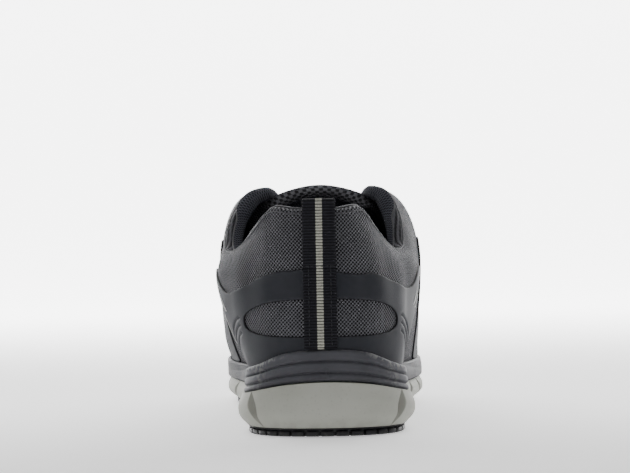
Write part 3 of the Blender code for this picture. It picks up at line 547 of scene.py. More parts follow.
def patch(name, loops, finish, spacing, form=None, details=()):
    """A sheet laid on the upper. The first loop is its edge and the others are holes, on the
    flat wall. form gives a further lift, and details more points for it."""
    loops = [even_line(loop, spacing * 0.8) for loop in loops]
    (left, low), (right, high) = loops[0].min(0), loops[0].max(0)
    gx, gy = np.meshgrid(np.arange(left, right, spacing), np.arange(low, high, spacing * 0.866))
    gx[1::2] += spacing / 2
    free = np.concatenate([np.stack([gx, gy], -1).reshape(-1, 2), *details])
    free = free[within(loops, free) & (distance_to(loops, free) > EDGE * 1.5)]
    rims, edges, start = [], [], 0
    for loop in loops:
        turn = turned(unit(np.roll(loop, -1, 0) - np.roll(loop, 1, 0)))
        turn = np.where(within(loops, loop + turn * 0.2 * MM)[:, None], turn, -turn)
        for share in (0.25, 0.55, 1.0):
            rim = loop + turn * EDGE * share
            rims.append(rim[distance_to(loops, rim) > EDGE * share * 0.85])
        edges += [(start + i, start + (i + 1) % len(loop)) for i in range(len(loop))]
        start += len(loop)
    spots = np.concatenate(loops + rims + [free]) / MM
    spots, _, faces, *_ = delaunay_2d_cdt([tuple(spot) for spot in spots], edges, [], 0, 1e-5)
    flat, faces = np.array([tuple(spot) for spot in spots]) * MM, np.array(faces)
    used, faces = np.unique(faces[within(loops, flat[faces].mean(1))], return_inverse=True)
    flat, faces = flat[used], faces.reshape(-1, 3)
    reach = distance_to(loops, flat)
    bow = np.clip(reach / EDGE, 0, 1)
    lift = (FILM + TUCK) * np.sqrt(1 - (1 - bow) ** 2) - TUCK
    if form is not None:
        lift += form(flat) * bow
    spots = skin(place_at(flat[:, 0]), np.clip(flat[:, 1] / WALL_SCALE, 0, 1), lift)
    made = new_object(name, spots, faces.tolist(), finish, 55.0)
    set_uv(made, flat[faces.ravel()])
    # rim marks the edge band: it carries the edges' real wear and their painted edge shadow.
    set_value(made, "rim", 1 - step(0.0, 2.2 * EDGE, reach))
    return mend(made)


# A stitch's cross-sections: share of its half length, share of its radius
STITCH = ((-1.0, 0.25), (-0.8, 0.8), (0.0, 1.0), (0.8, 0.8), (1.0, 0.25))


def stitches(name, paths, finish, pitch=2.6 * MM, length=2.0 * MM, radius=0.26 * MM):
    """Rows of sewing thread. Each path is a line of points and their outward directions."""
    points, faces = [], []
    across, over = (wave[:, None] for wave in circle(6))
    for line, normals in paths:
        both = even_line(np.concatenate([line, normals], 1), pitch, closed=False)
        middles = both[:, :3]
        for middle, forward, up in zip(middles, slope(middles), unit(both[:, 3:])):
            base = len(points)
            for share, wide in STITCH:
                spokes = across * np.cross(forward, up) + over * up
                centre = middle + forward * share * length / 2 - up * 0.5 * radius * share**2
                points += list(centre + spokes * wide * radius)
            faces += quads(len(STITCH), 6, base, round_columns=True)
            faces += [range(base, base + 6), range(base + 29, base + 23, -1)]
    return mend(new_object(name, points, [tuple(face) for face in faces], finish, 70.0))


# Materials


class Value:
    """A node's output, to reckon with."""

    def __init__(self, surface, socket):
        self.surface, self.socket = surface, socket

    def __add__(self, other):
        return self.surface.math("ADD", self, other)

    def __sub__(self, other):
        return self.surface.math("SUBTRACT", self, other)

    def __rsub__(self, other):
        return self.surface.math("SUBTRACT", other, self)

    def __mul__(self, other):
        return self.surface.math("MULTIPLY", self, other)

    def ramp(self, low, high, bottom=0.0, top=1.0):
        inputs = dict(enumerate((self, low, high, bottom, top)))
        return self.surface.node("MapRange", 0, inputs, interpolation_type="SMOOTHSTEP")

    def wave(self, operation, pitch):
        return self.surface.math(operation, self * (2 * math.pi / pitch))

    def mix(self, first, second, kind="RGBA", ends=(6, 7), out=2):
        """first where this is 0, second where it is 1."""
        inputs = {"Factor": self, ends[0]: first, ends[1]: second}
        return self.surface.node("Mix", out, inputs, data_type=kind)


class Surface:
    """A node material, built up from the shader's inputs backwards."""

    def __init__(self, name, colour, roughness, specular=0.35):
        self.made = bpy.data.materials.new(name)
        self.made.use_nodes = True
        self.tree = self.made.node_tree
        self.shader = self.tree.nodes["Principled BSDF"]
        self.place = self.node("TexCoord", "Object")
        self.set("Base Color", colour)
        self.set("Roughness", roughness)
        self.set("Specular IOR Level", specular)

    def feed(self, target, value):
        if isinstance(value, Value):
            self.tree.links.new(value.socket, target)
        else:
            target.default_value = (*value, 1.0) if isinstance(value, tuple) else value

    def set(self, socket, value):
        self.feed(self.shader.inputs[socket], value)

    def node(self, kind, out=0, inputs=(), **settings):
        made = self.tree.nodes.new("ShaderNode" + kind)
        for name, setting in settings.items():
            setattr(made, name, setting)
        for key, value in dict(inputs).items():
            self.feed(made.inputs[key], value)
        return Value(self, made.outputs[out])

    def math(self, operation, *values):
        return self.node("Math", 0, enumerate(values), operation=operation)

    def noise(self, scale, detail=2.0):
        return self.node("TexNoise", "Fac", {"Vector": self.place, "Scale": scale, "Detail": detail})

    def cells(self, scale):
        return self.node("TexVoronoi", "Distance", {"Vector": self.place, "Scale": scale})

    def value(self, name):
        return self.node("Attribute", "Fac", attribute_name=name)

    def split(self, vector):
        first = self.node("SeparateXYZ", 0, {0: vector})
        return first, Value(self, first.socket.node.outputs[1])

    def lengths(self, layer="length"):
        """Lengths along and across the surface, in metres."""
        return self.split(self.node("UVMap", 0, uv_map=layer))

    def lattice(self, across, up, layer="length"):
        """Staggered round holes: 1 in the middle of a hole, -1 where threads cross."""
        u, w = self.lengths(layer)
        return u.wave("COSINE", across) * w.wave("COSINE", up)

    def finish(self, colour, roughness=None, height=None, depth=0.0, strength=1.0):
        self.set("Base Color", colour)
        if roughness is not None:
            self.set("Roughness", roughness)
        if height is not None:
            inputs = {"Height": height, "Distance": depth, "Strength": strength}
            self.set("Normal", self.node("Bump", "Normal", inputs))
        return self.made


def mesh_material():
    s = Surface("mesh_fabric", (0.09, 0.09, 0.1), 0.75, 0.15)
    side = s.lattice(1.7 * MM, 1.8 * MM)
    above = s.lattice(1.8 * MM, 1.7 * MM, "above")
    threads = s.noise(2400.0)
    holes = s.value("vamp").ramp(0.45, 0.55).mix(side, above, "FLOAT", (2, 3), 0)
    holes += (threads - 0.5) * 0.25
    light = s.noise(60.0, 3.0).ramp(0.3, 0.7).mix((0.098, 0.098, 0.109), (0.132, 0.132, 0.146))
    colour = holes.ramp(-0.1, 0.26).mix(light, (0.0012, 0.0012, 0.0016))
    height = 1.0 - holes.ramp(-0.5, 0.5) + threads * 0.25
    return s.finish(colour, holes.ramp(-0.3, 0.4, 0.62, 0.95), height, 0.45 * MM, 0.9)


def film_material(name, colour, lighter, rough):
    s = Surface(name, colour, rough, 0.11)
    cloud, fine, rim = s.noise(45.0, 4.0), s.noise(1500.0), s.value("rim")
    tone = cloud.ramp(0.35, 0.7).mix(colour, lighter)
    worn = rim * s.noise(260.0, 3.0).ramp(0.42, 0.62)
    tone = (worn * 0.3).mix(tone, (0.08, 0.08, 0.087))
    # The outermost rim is darkened to near black: painted shade, a shadow line where the sheet's edge
    # stands on the mesh.
    tone = rim.ramp(0.7, 0.95).mix(tone, (0.006, 0.006, 0.0075))
    roughness = cloud.ramp(0.3, 0.75, rough, rough + 0.14) + fine * 0.06
    return s.finish(tone, roughness, fine * 0.4 + s.cells(1300.0) * 0.6, 0.06 * MM, 0.6)


def rand_material():
    s = Surface("rand", (0.05, 0.051, 0.058), 0.6, 0.1)
    cloud, pores, texture = s.noise(30.0, 4.0), s.cells(620.0), s.value("texture")
    tone = cloud.ramp(0.3, 0.7).mix((0.052, 0.053, 0.061), (0.07, 0.071, 0.08))
    tone = (s.value("smooth_side") * 0.85).mix(tone, (0.02, 0.0205, 0.025))
    chips = s.value("worn") * s.noise(420.0, 4.0).ramp(0.44, 0.56)
    tone = (chips * 0.7).mix(tone, (0.19, 0.193, 0.19))
    tone = (texture * pores.ramp(0.25, 0.55) * 0.45).mix(tone, (0.1, 0.101, 0.1))
    height = s.noise(1900.0, 3.0) * 0.5 + s.cells(900.0) * 0.5 + texture * pores * 2.0
    return s.finish(tone, cloud.ramp(0.3, 0.7, 0.48, 0.62), height, 0.09 * MM, 0.7)


def midsole_material():
    s = Surface("midsole", (0.36, 0.365, 0.33), 0.68, 0.3)
    cloud, beads = s.noise(22.0, 5.0), s.cells(480.0)
    tone = cloud.ramp(0.3, 0.72).mix((0.32, 0.325, 0.285), (0.385, 0.39, 0.35))
    tone = beads.ramp(0.08, 0.3, 0.25, 0.0).mix(tone, (0.24, 0.24, 0.215))
    low = s.value("low") * s.noise(160.0, 4.0).ramp(0.35, 0.65)
    tone = (low * 0.22).mix(tone, (0.13, 0.125, 0.11))
    # The notches' faces are darkened: painted shade in the notches, on top of the geometry's own
    # shading.
    tone = (s.value("notch_shade") * 0.75).mix(tone, (0.19, 0.19, 0.168))
    height = s.noise(1400.0, 4.0) * 0.7 + beads * 0.5
    return s.finish(tone, cloud.ramp(0.3, 0.7, 0.6, 0.75), height, 0.12 * MM, 0.55)


def outsole_material():
    s = Surface("outsole", (0.012, 0.012, 0.014), 0.55, 0.35)
    cloud = s.noise(38.0, 4.0)
    tone = cloud.ramp(0.35, 0.7).mix((0.0105, 0.0105, 0.0125), (0.021, 0.021, 0.022))
    tone = s.noise(300.0, 5.0).ramp(0.56, 0.72, 0.0, 0.35).mix(tone, (0.06, 0.058, 0.05))
    return s.finish(tone, cloud.ramp(0.3, 0.7, 0.45, 0.65), s.noise(1700.0, 3.0), 0.08 * MM, 0.6)


def knit_material(name, colour, lighter, pitch, depth):
    """Fine knit: short loops in staggered rows."""
    s = Surface(name, colour, 0.88, 0.12)
    loops = s.lattice(pitch, pitch * 1.15) + (s.noise(2600.0) - 0.5) * 0.6
    shade = loops.ramp(-0.25, 0.45)
    tone = s.noise(50.0, 3.0).ramp(0.3, 0.7).mix(colour, lighter)
    tone = (shade * 0.9).mix(tone, tuple(0.12 * k for k in colour))
    return s.finish(tone, None, 1.0 - shade, depth, 0.8)


# The webbing's ribs, and half the width of its pale line with the threads' edge
RIB_PITCH = 1.32 * MM
PALE_LINE = (1.35 * MM, 1.6 * MM)


def webbing_material():
    s = Surface("webbing", (0.009, 0.009, 0.011), 0.75, 0.12)
    u, w = s.lengths()
    rib, twist = w.wave("COSINE", RIB_PITCH), s.noise(1900.0)
    line = (1.0 - s.math("ABSOLUTE", u - PULL_LOOP_WIDTH / 2).ramp(*PALE_LINE)) * rib.ramp(-0.95, -0.35)
    dark = rib.ramp(-0.9, 0.9).mix((0.0055, 0.0055, 0.007), (0.0165, 0.0165, 0.0215))
    pale = twist.ramp(0.35, 0.65).mix((0.33, 0.33, 0.285), (0.43, 0.43, 0.375))
    height = u.wave("SINE", 0.62 * MM) * 0.3 + twist * 0.7
    return s.finish(line.mix(dark, pale), None, height, 0.16 * MM, 0.8)


def lace_material():
    s = Surface("lace", (0.014, 0.014, 0.017), 0.8, 0.25)
    s.set("Sheen Weight", 0.1)
    u, w = s.lengths()
    braid = s.math("MAXIMUM", *(k.wave("SINE", 1.25 * MM) for k in (u + w, u - w)))
    tone = braid.ramp(0.1, 0.95).mix((0.005, 0.005, 0.006), (0.026, 0.026, 0.03))
    return s.finish(tone, None, braid + s.noise(2300.0), 0.18 * MM, 0.8)


def insole_material():
    s = Surface("insole", (0.035, 0.036, 0.042), 0.9, 0.2)
    spots = s.cells(260.0)
    tone = s.noise(40.0, 3.0).ramp(0.3, 0.7).mix((0.03, 0.031, 0.037), (0.045, 0.046, 0.053))
    tone = spots.ramp(0.1, 0.22, 0.85, 0.0).mix(tone, (0.006, 0.006, 0.007))
    height = s.noise(1800.0, 3.0) * 0.4 + spots.ramp(0.08, 0.25)
    return s.finish(tone, None, height, 0.25 * MM, 0.7)


def thread_material(name, colour, lighter):
    s = Surface(name, colour, 0.6, 0.35)
    twist = s.noise(2800.0)
    tone = twist.ramp(0.35, 0.65).mix(colour, lighter)
    return s.finish(tone, twist.ramp(0.3, 0.7, 0.5, 0.7), twist, 0.1 * MM, 0.7)


def reflective_material():
    s = Surface("reflective", (0.36, 0.37, 0.36), 0.4, 0.6)
    beads = s.cells(2600.0)
    tone = beads.ramp(0.1, 0.5).mix((0.42, 0.425, 0.41), (0.28, 0.285, 0.28))
    return s.finish(tone, beads.ramp(0.1, 0.5, 0.28, 0.5), beads, 0.05 * MM, 0.6)


def metal_material():
    s = Surface("eyelet", (0.03, 0.03, 0.034), 0.35, 0.5)
    s.set("Metallic", 0.8)
    brush = s.noise(900.0, 3.0)
    tone = brush.ramp(0.3, 0.7).mix((0.035, 0.035, 0.04), (0.065, 0.065, 0.072))
    return s.finish(tone, brush.ramp(0.3, 0.7, 0.28, 0.45), brush, 0.03 * MM, 0.5)


MATERIALS = {
    "mesh": mesh_material(),
    "film": film_material("overlay", (0.021, 0.0225, 0.028), (0.028, 0.029, 0.035), 0.5),
    "side_film": film_material("side_film", (0.016, 0.017, 0.021), (0.023, 0.024, 0.029), 0.48),
    "rand": rand_material(),
    "midsole": midsole_material(),
    "outsole": outsole_material(),
    "insole": insole_material(),
    "lining": knit_material("lining", (0.06, 0.063, 0.078), (0.088, 0.091, 0.108), 1.75 * MM, 0.4 * MM),
    "spacer": knit_material("tongue", (0.13, 0.13, 0.144), (0.19, 0.19, 0.207), 2.5 * MM, 0.5 * MM),
    "piping": thread_material("piping", (0.012, 0.012, 0.015), (0.02, 0.02, 0.024)),
    "thread": thread_material("thread", (0.05, 0.05, 0.056), (0.09, 0.09, 0.098)),
    "lace": lace_material(),
    "webbing": webbing_material(),
    "reflective": reflective_material(),
    "eyelet": metal_material(),
}


def dress(made, slot, *nodes):
    """Puts a finished piece on the shoe."""
    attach(made, "root")
    if nodes:
        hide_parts(*nodes)


# The upper: mesh shell outside, padded rim and lining inside

UPPER_COLUMNS = 384
RIM_ROWS = 6


def rim_seam(places):
    """How far the mesh turns over the rim before the lining starts. On the collar's front peaks
    the lining starts outside."""
    return np.radians(76.0 - 71.0 * step(0.42, 0.452, from_heel(places)))


def rim_point(places, turn, lift=0.0):
    """A point of the rounded top edge: turn 0 outside, 180 degrees inside. It is flatter at the
    back of the heel."""
    thick = wall_thickness(places, 1.0)
    round_up = 0.12 + 0.30 * step(0.10, 0.2, from_heel(places))
    climb = unit(upper(places, 1.0) - upper(places, 0.97))
    depth = (1 - np.cos(turn)) / 2 * thick - lift * np.cos(turn)
    rise = (round_up * thick + lift) * np.sin(turn)
    return upper(places, 1.0) - upper_normal(places, 1.0) * depth[..., None] + climb * rise[..., None]


def vamp_plan(points):
    """Flat pattern of the upper's front: how far across from its ridge, and how far forward."""
    ahead = np.linspace(0.5, 1.0, 41)
    ridge = (upper(ahead, 1.0) + upper(2 - ahead, 1.0)) / 2
    ridge = np.concatenate([ridge, upper(1.0, np.linspace(1, 0, 41))[1:]])
    forward = np.maximum.accumulate(ridge[:, 1])
    middle, crest = (np.interp(points[..., 1], forward, ridge[:, k]) for k in (0, 2))
    x, drop = points[..., 0] - middle, np.clip(crest - points[..., 2], 0, None)
    across = (np.abs(x) ** 1.4 + drop**1.4) ** (1 / 1.4)
    return np.stack([np.sign(x) * across, points[..., 1]], -1)


def make_shell():
    places = np.linspace(-1, 1, UPPER_COLUMNS + 1)
    rows = np.linspace(0, 1, 84)
    rim = [rim_point(places, share * rim_seam(places)) for share in np.linspace(0, 1, RIM_ROWS + 1)[1:]]
    grid = np.concatenate([skin(places[None, :], rows[:, None], 0.0), rim])
    rows = np.concatenate([rows, np.ones(RIM_ROWS)])
    # The weave counts fewer threads across the heel's back, where it lies slack
    stride = np.diff(grid, axis=1)
    side = np.abs(places[1:] + places[:-1]) / 2
    stride[..., 1:] *= (0.3 + 0.7 * step(0.06, 0.22, side))[:, None]
    u = np.pad(np.cumsum(np.linalg.norm(stride, axis=-1), 1), ((0, 0), (1, 0)))
    u -= u[:, [UPPER_COLUMNS // 2]]
    u[-RIM_ROWS:] = u[-RIM_ROWS - 1]
    climb = np.linalg.norm(np.diff(grid, axis=0), axis=-1)
    climb[-RIM_ROWS:] *= 0.7
    w = np.pad(np.cumsum(climb, 0), ((1, 0), (0, 0)))
    body = grid[:, :-1]
    made = grid_object("upper_shell", body, MATERIALS["mesh"], 40.0, uv=np.stack([u, w], -1))
    order = np.zeros(len(made.data.loops), int)
    made.data.loops.foreach_get("vertex_index", order)
    set_uv(made, vamp_plan(body).reshape(-1, 2)[order], "above")
    vamp = step(0.62, 0.66, np.abs(places[:-1]) - 0.10 * (0.9 - rows[:, None]))
    set_value(made, "vamp", vamp)
    dress(made, "mesh_fabric", "upper")


def make_lining():
    """The padded collar and the lining below it, down to the footbed."""
    places = np.arange(288) / 144.0 - 1
    seam = rim_seam(places)
    rows = [
        rim_point(places, seam + math.radians(turn), lift * MM)
        for turn, lift in ((-4.0, -0.2), (0.0, 0.2), (6.0, 0.5))
    ]
    for share in np.linspace(0, 1, 11)[1:]:
        rows.append(rim_point(places, (seam + 0.11) * (1 - share) + 3.07 * share, 0.5 * MM))
    climb = (*np.linspace(0.985, 0.62, 20), *np.linspace(0.58, 0.0, 13))
    rows += [inner_point(places, v) for v in climb]
    rows[-1][:, 2] = seat(rows[-1][:, 1]) + GAP
    hem = rows[-1][:, :2] - outward(places) * 3.5 * MM
    rows.append(with_height(hem, seat(hem[:, 1]) + 0.5 * GAP))
    made = grid_object("collar_lining", np.array(rows), MATERIALS["lining"], 40.0)
    dress(made, "mesh_fabric")


def edge_line(first, last, v, lift, count=160):
    places = np.linspace(first, last, count)
    return skin(places, v, lift), upper_normal(places, v)


def make_collar_trim():
    """Piping along the lining's seam and a row of stitches below the rim."""
    places = np.linspace(-0.52, 0.52, 260)
    line = rim_point(places, rim_seam(places), 0.3 * MM)
    along = slope(line)
    side = unit(np.cross(along, upper_normal(places, 1.0)))
    across, over = (wave[None, :, None] for wave in circle(10))
    radius = np.full((len(line), 1, 1), 0.42 * MM)
    radius[[0, -1]] *= 0.15
    spokes = across * side[:, None] + over * np.cross(side, along)[:, None]
    cord = line[:, None] + spokes * radius
    dress(grid_object("collar_piping", cord, MATERIALS["thread"]), "mesh_fabric")
    paths = [edge_line(a, b, 0.985, 0.12 * MM) for a, b in ((-0.49, -0.045), (0.045, 0.49))]
    dress(stitches("collar_stitches", paths, MATERIALS["thread"]), "mesh_fabric")


make_shell()
make_lining()
make_collar_trim()


# Overlays. Their tables give lengths and heights in millimetres

# Upper and front edge of the heel counter on each side
COUNTER_OUTER = (
    (0.0, 75.6), (8.4, 75.2), (27.5, 74.1), (37.5, 72.9), (50.9, 70.0), (60.5, 67.7), (67.5, 66.4),
    (73.7, 66.2), (78.5, 66.8), (83.2, 68.5), (94.9, 73.9), (103.0, 76.5), (109.5, 75.4),
    (112.8, 71.0), (111.0, 61.5), (105.5, 49.0), (97.5, 37.0),
)
COUNTER_INNER = (
    (-11.9, 76.6), (-22.9, 76.0), (-31.7, 74.4), (-42.4, 72.3), (-53.2, 69.1), (-61.1, 66.9),
    (-68.9, 65.4), (-74.4, 65.3), (-77.8, 66.3), (-85.5, 70.5), (-94.0, 74.9), (-102.0, 76.6),
    (-108.7, 75.0), (-112.0, 70.5), (-110.0, 60.5), (-104.5, 48.0), (-96.5, 36.5),
)
COUNTER_FOOT = 91 * MM
WINDOW_MIDDLE = (-1.5 * MM, 54.4 * MM)
WINDOW_HALF_LENGTH = 53.6 * MM
WINDOW_HALF_HEIGHT = 8.4 * MM
WINDOW_DROOP = 2.2 * MM
# Pressed grooves ahead of the window, in threes on each side
GROOVES = (
    ((58.6, 54.0), (66.0, 52.2), (73.5, 49.0), (80.0, 44.6), (85.0, 39.2), (88.0, 34.0)),
    ((58.6, 50.4), (65.5, 48.7), (72.5, 45.6), (78.5, 41.4), (83.0, 36.8), (85.5, 32.0)),
    ((58.6, 46.8), (64.5, 45.2), (70.5, 42.4), (76.0, 38.6), (80.5, 34.4), (82.5, 30.4)),
)
GROOVE_DEPTH = 0.8 * MM
GROOVE_HALF_WIDTH = 0.62 * MM
# Ends of the pale reflecting bars, and their section: distance across, lift
BARS = (
    ((91.4, 64.6), (84.2, 58.0)), ((98.6, 62.4), (91.8, 56.4)),
    ((-88.4, 67.0), (-80.4, 56.4)), ((-94.5, 54.5), (-84.6, 41.0)),
)
BAR_SECTION = ((-0.75, 0.8), (-0.68, 1.06), (-0.3, 1.14), (0.3, 1.14), (0.68, 1.06), (0.75, 0.8))


def rand_line(first, last, count):
    """Just under the rand's upper edge, so that a sheet ends behind it."""
    lengths = np.linspace(first, last, count)
    return wall_point(lengths, rand_edges(place_at(lengths))[1] - OVERLAY)


def window_line():
    wave, rise = circle(120)
    across = squared(wave, 0.8)
    heights = WINDOW_MIDDLE[1] + WINDOW_HALF_HEIGHT * squared(rise, 0.82) - WINDOW_DROOP * across**2
    return wall_point(WINDOW_MIDDLE[0] + WINDOW_HALF_LENGTH * across, heights)


def make_counter():
    lower = rand_line(COUNTER_FOOT, -COUNTER_FOOT, 60)
    loop = np.concatenate([in_mm(COUNTER_OUTER), lower, in_mm(COUNTER_INNER)[::-1]])
    lines = [
        even_line(in_mm(np.array(groove) * (side, 1) + shift), 0.9 * MM, closed=False)
        for groove in GROOVES
        for side, shift in ((1, (0, 0)), (-1, (-1.5, 0)))
    ]
    offsets = (-1.2, -0.6, 0.0, 0.6, 1.2)
    details = [line + turned(slope(line)) * off * MM for line in lines for off in offsets]

    def form(flat):
        return -GROOVE_DEPTH * np.exp(-((distance_to(lines, flat, False) / GROOVE_HALF_WIDTH) ** 2))

    made = patch("counter_film", [loop, window_line()], MATERIALS["film"], 1.0 * MM, form, details)
    dress(made, "overlay", "heel_counter")


def make_bars():
    points, faces = [], []
    for ends in BARS:
        line = even_line(in_mm(ends), 1.0 * MM, closed=False)
        turn = turned(unit(line[-1] - line[0]))
        faces += quads(len(line), len(BAR_SECTION), len(points))
        for n, spot in enumerate(line):
            for off, lift in BAR_SECTION:
                length, climb = spot + turn * off * MM
                lift = BAR_SECTION[0][1] if n in (0, len(line) - 1) else lift
                points.append(skin(place_at(length), climb / WALL_SCALE, lift * MM))
    dress(new_object("reflective_bars", points, faces, MATERIALS["reflective"]), "overlay")


# Upper edge of the toe guard: length short of the toe, height
TOE_GUARD = (
    (92.0, 30.5), (85.0, 37.5), (75.0, 45.0), (61.0, 51.5), (44.0, 56.0), (22.0, 58.6), (0.0, 59.4),
)
TOE_GUARD_FOOT = 97 * MM


def make_toe_guard():
    """Plain bumper sheet over the toe, from one side to the other."""
    outer = np.array(TOE_GUARD) * (-1, 1)
    upper_edge = in_mm(np.concatenate([outer, (outer * (-1, 1))[-2::-1]]) + (SIDE_LENGTH / MM, 0))
    lower = rand_line(SIDE_LENGTH + TOE_GUARD_FOOT, SIDE_LENGTH - TOE_GUARD_FOOT, 100)
    loop = np.concatenate([upper_edge, lower])
    dress(patch("toe_guard_film", [loop], MATERIALS["side_film"], 1.5 * MM), "overlay", "toe_guard")


# Side panel, seen from the side: share of the length, share of the collar's height
SIDE_PANEL = (
    (0.062, 0.235), (0.148, 0.235), (0.132, 0.330), (0.108, 0.450), (0.075, 0.580), (0.040, 0.700),
    (0.014, 0.800), (0.000, 0.865), (-0.064, 0.872), (-0.060, 0.800), (-0.044, 0.700),
    (-0.012, 0.570), (0.022, 0.440), (0.050, 0.330),
)


def make_side_films():
    for name, side in (("side_panel_outer", 1), ("side_panel_inner", -1)):
        y, z = (np.array(SIDE_PANEL) * (SHOE_LENGTH, COLLAR_HEIGHT)).T
        lengths = side * np.interp(y, outline(SIDE_PLACES)[:, 1], SIDE_LENGTHS)
        loop = wall_point(lengths, np.maximum(z, rand_edges(place_at(lengths))[1] - OVERLAY))
        after = np.roll(loop, -1, 0)
        # The corners are softened
        loop = np.stack([0.78 * loop + 0.22 * after, 0.22 * loop + 0.78 * after], 1).reshape(-1, 2)
        dress(patch(name + "_film", [loop], MATERIALS["side_film"], 1.6 * MM), "overlay", name)


# The eyestay's first place, rows and lift, and its rows of stitches: v, first place
EYESTAY_START = 0.532
EYESTAY_ROWS = (0.815, 0.972)
EYESTAY_LIFT = 1.3 * MM
EYESTAY_SEAMS = ((0.832, 0.566), (0.957, 0.54))
EYELET_ROW = 0.925
EYELETS = np.linspace(0.575, 0.83, EYELET_PAIRS)
# Section of an eyelet's ring: share of the radius, rise in millimetres
EYELET_SECTION = ((1.55, -0.3), (1.5, 0.2), (1.35, 0.5), (1.12, 0.55), (0.98, 0.25), (1.02, -0.3))


def make_eyestay():
    """A sheet between two rows of the wall, with rounded edges and narrow ends."""
    start, end = EYESTAY_START, 2 - EYESTAY_START
    between = np.linspace(start + 0.004, end - 0.004, 240)
    places = np.array([start, start + 0.0015, *between, end - 0.0015, end])
    short = 1 - np.clip((from_heel(places) - start) / 0.035, 0, 1)
    narrow = 1 - 0.62 * (1 - np.sqrt(1 - 0.96 * short**2))
    low, high = EYESTAY_ROWS
    rim = EDGE / WALL_SCALE
    inner_rows = np.linspace(low, high, 14)[1:-1]
    vs = np.array([low, low + 0.3 * rim, low + rim, *inner_rows, high - rim, high - 0.3 * rim, high])
    lifts = np.full(vs.shape, EYESTAY_LIFT)
    lifts[[0, -1]] = -TUCK
    lifts[[1, -2]] *= 0.7
    ends = np.ones(places.shape)
    ends[[0, -1]], ends[[1, -2]] = 0.0, 0.8
    grid = skin(places[None, :], high - (high - vs[:, None]) * narrow, lifts[:, None] * ends)
    made = grid_object("eyestay_band", grid, MATERIALS["side_film"], 55.0, closed=False)
    # The rows at both edges are marked as rim, for real wear and a painted edge shadow.
    rim_mark = np.zeros(grid.shape[:2])
    rim_mark[:3] = rim_mark[-3:] = 1.0
    set_value(made, "rim", rim_mark)
    dress(made, "overlay", "eyestay")
    paths = [edge_line(first, 2 - first, v, 1.42 * MM, 300) for v, first in EYESTAY_SEAMS]
    dress(stitches("eyestay_stitches", paths, MATERIALS["thread"]), "overlay")


def make_eyelets():
    rings, ring_faces, hole_shades, hole_shade_faces = [], [], [], []
    across, over = (wave[:, None] for wave in circle(24))
    for one in EYELETS:
        for place in (one, 2 - one):
            spot = skin(place, EYELET_ROW, EYESTAY_LIFT)
            normal = upper_normal(place, EYELET_ROW)
            first = unit(np.cross(normal, [0.0, 1.0, 0.0]))
            spokes = (across * first + over * np.cross(normal, first)) * EYELET_RADIUS
            ring_faces += quads(24, len(EYELET_SECTION), len(rings), round_rows=True)
            for spoke in spokes:
                rings += [spot + spoke * wide + normal * rise * MM for wide, rise in EYELET_SECTION]
            # A dark disc fills each eyelet's opening: painted shade where the hole runs into the shoe.
            start = len(hole_shades)
            hole_shades += [spot - normal * 0.05 * MM, *(spot + spokes * 1.05 + normal * 0.08 * MM)]
            hole_shade_faces += [(start, start + 1 + k, start + 1 + (k + 1) % 24) for k in range(24)]
    dress(new_object("eyelet_rings", rings, ring_faces, MATERIALS["eyelet"]), "overlay")
    dress(new_object("eyelet_hole_shade", hole_shades, hole_shade_faces, MATERIALS["piping"]), "overlay")


make_counter()
make_bars()
make_toe_guard()
make_side_films()
make_eyestay()
make_eyelets()


# Rand, with three ribs round the heel

RIBS_END = (0.285, 0.33)
RIB_GROOVES = (0.28, 0.64)


def make_rand():
    places = np.arange(560) / 280.0
    # More columns across the small mark at the heel's middle
    close = place_at(np.linspace(0.35, 2.45, 7) * MM)
    places = np.unique(np.concatenate([places, close, 2 - close]))
    side = from_heel(places)
    ribbed = 1 - step(*RIBS_END, side)
    mark = 0.55 * MM * np.exp(-((length_at(side) / (0.75 * MM)) ** 2))
    low, high = rand_edges(places)
    rows, worn, texture = [], [], []

    def add(share, lift, wear=0.0, grain=0.0):
        z = low + share * (high - low)
        wall = upper(places, climb_to(places, z))[:, :2]
        rows.append(with_height(wall + outward(places) * np.asarray(lift)[..., None], z))
        worn.append(wear + 0.0 * places)
        texture.append(grain + 0.0 * places)

    for share in (0.0, 0.015, *np.linspace(0.04, 0.96, 41), 0.985, 1.0):
        cut = sum(np.exp(-(((share - groove) / 0.045) ** 2)) for groove in RIB_GROOVES)
        heel = (3.75 - 1.2 * share - 1.25 * cut) * MM
        swell = 0.5 + 0.5 * np.cos(2 * math.pi * (share - 0.5))
        thick = ribbed * heel + (1 - ribbed) * (2.9 - share + 0.35 * swell) * MM
        thick += mark * step(0.03, 0.1, share) * (1 - step(0.38, 0.46, share))
        end = min(share, 1 - share)
        bow = min(1.0, end / 0.11)
        thick *= 0.4 + 0.6 * math.sqrt(bow * (2 - bow))
        near = np.exp(-(((side - 0.165) / 0.02) ** 2)) * (0.3 + 0.5 * share)
        rubbed = step(0.07, 0.12, side) * ribbed * step(0.8, 0.93, share)
        grain = (1 - ribbed) * step(0.45, 0.6, side) * (1 - step(0.66, 0.8, side))
        grain *= step(0.05, 0.12, end)
        add(share, GAP + thick, np.clip(near + rubbed + 0.35 * (end < 0.03), 0, 1), grain)
    for share in (1.0, 0.5, 0.0):
        add(share, RAND_SEAT)
    made = grid_object("rand_band", np.array(rows), MATERIALS["rand"], 40.0, round_rows=True)
    set_value(made, "worn", worn)
    set_value(made, "texture", texture)
    set_value(made, "smooth_side", np.tile(1 - ribbed, len(rows)))
    dress(made, "rand", "rand")


make_rand()


# Midsole, with pointed notches round its side

NOTCHES_PER_SIDE = 10
FIRST_NOTCH = 0.115
LAST_NOTCH = 0.94
NOTCH_DEPTH = 2.2 * MM
NOTCH_HALF_WIDTH = 0.011
NOTCH_SLANT = 0.010
NOTCH_PARTS = 5
# Share of the side's height, inset, width of the notches, slant of the notches
MIDSOLE_SIDE = (
    (0.00, 4.2 * MM, 0.10, -1.0),
    (0.27, 0.8 * MM, 0.55, -0.5),
    (0.60, 0.0 * MM, 1.00, 0.1),
    (1.00, 1.9 * MM, 0.10, 1.0),
)


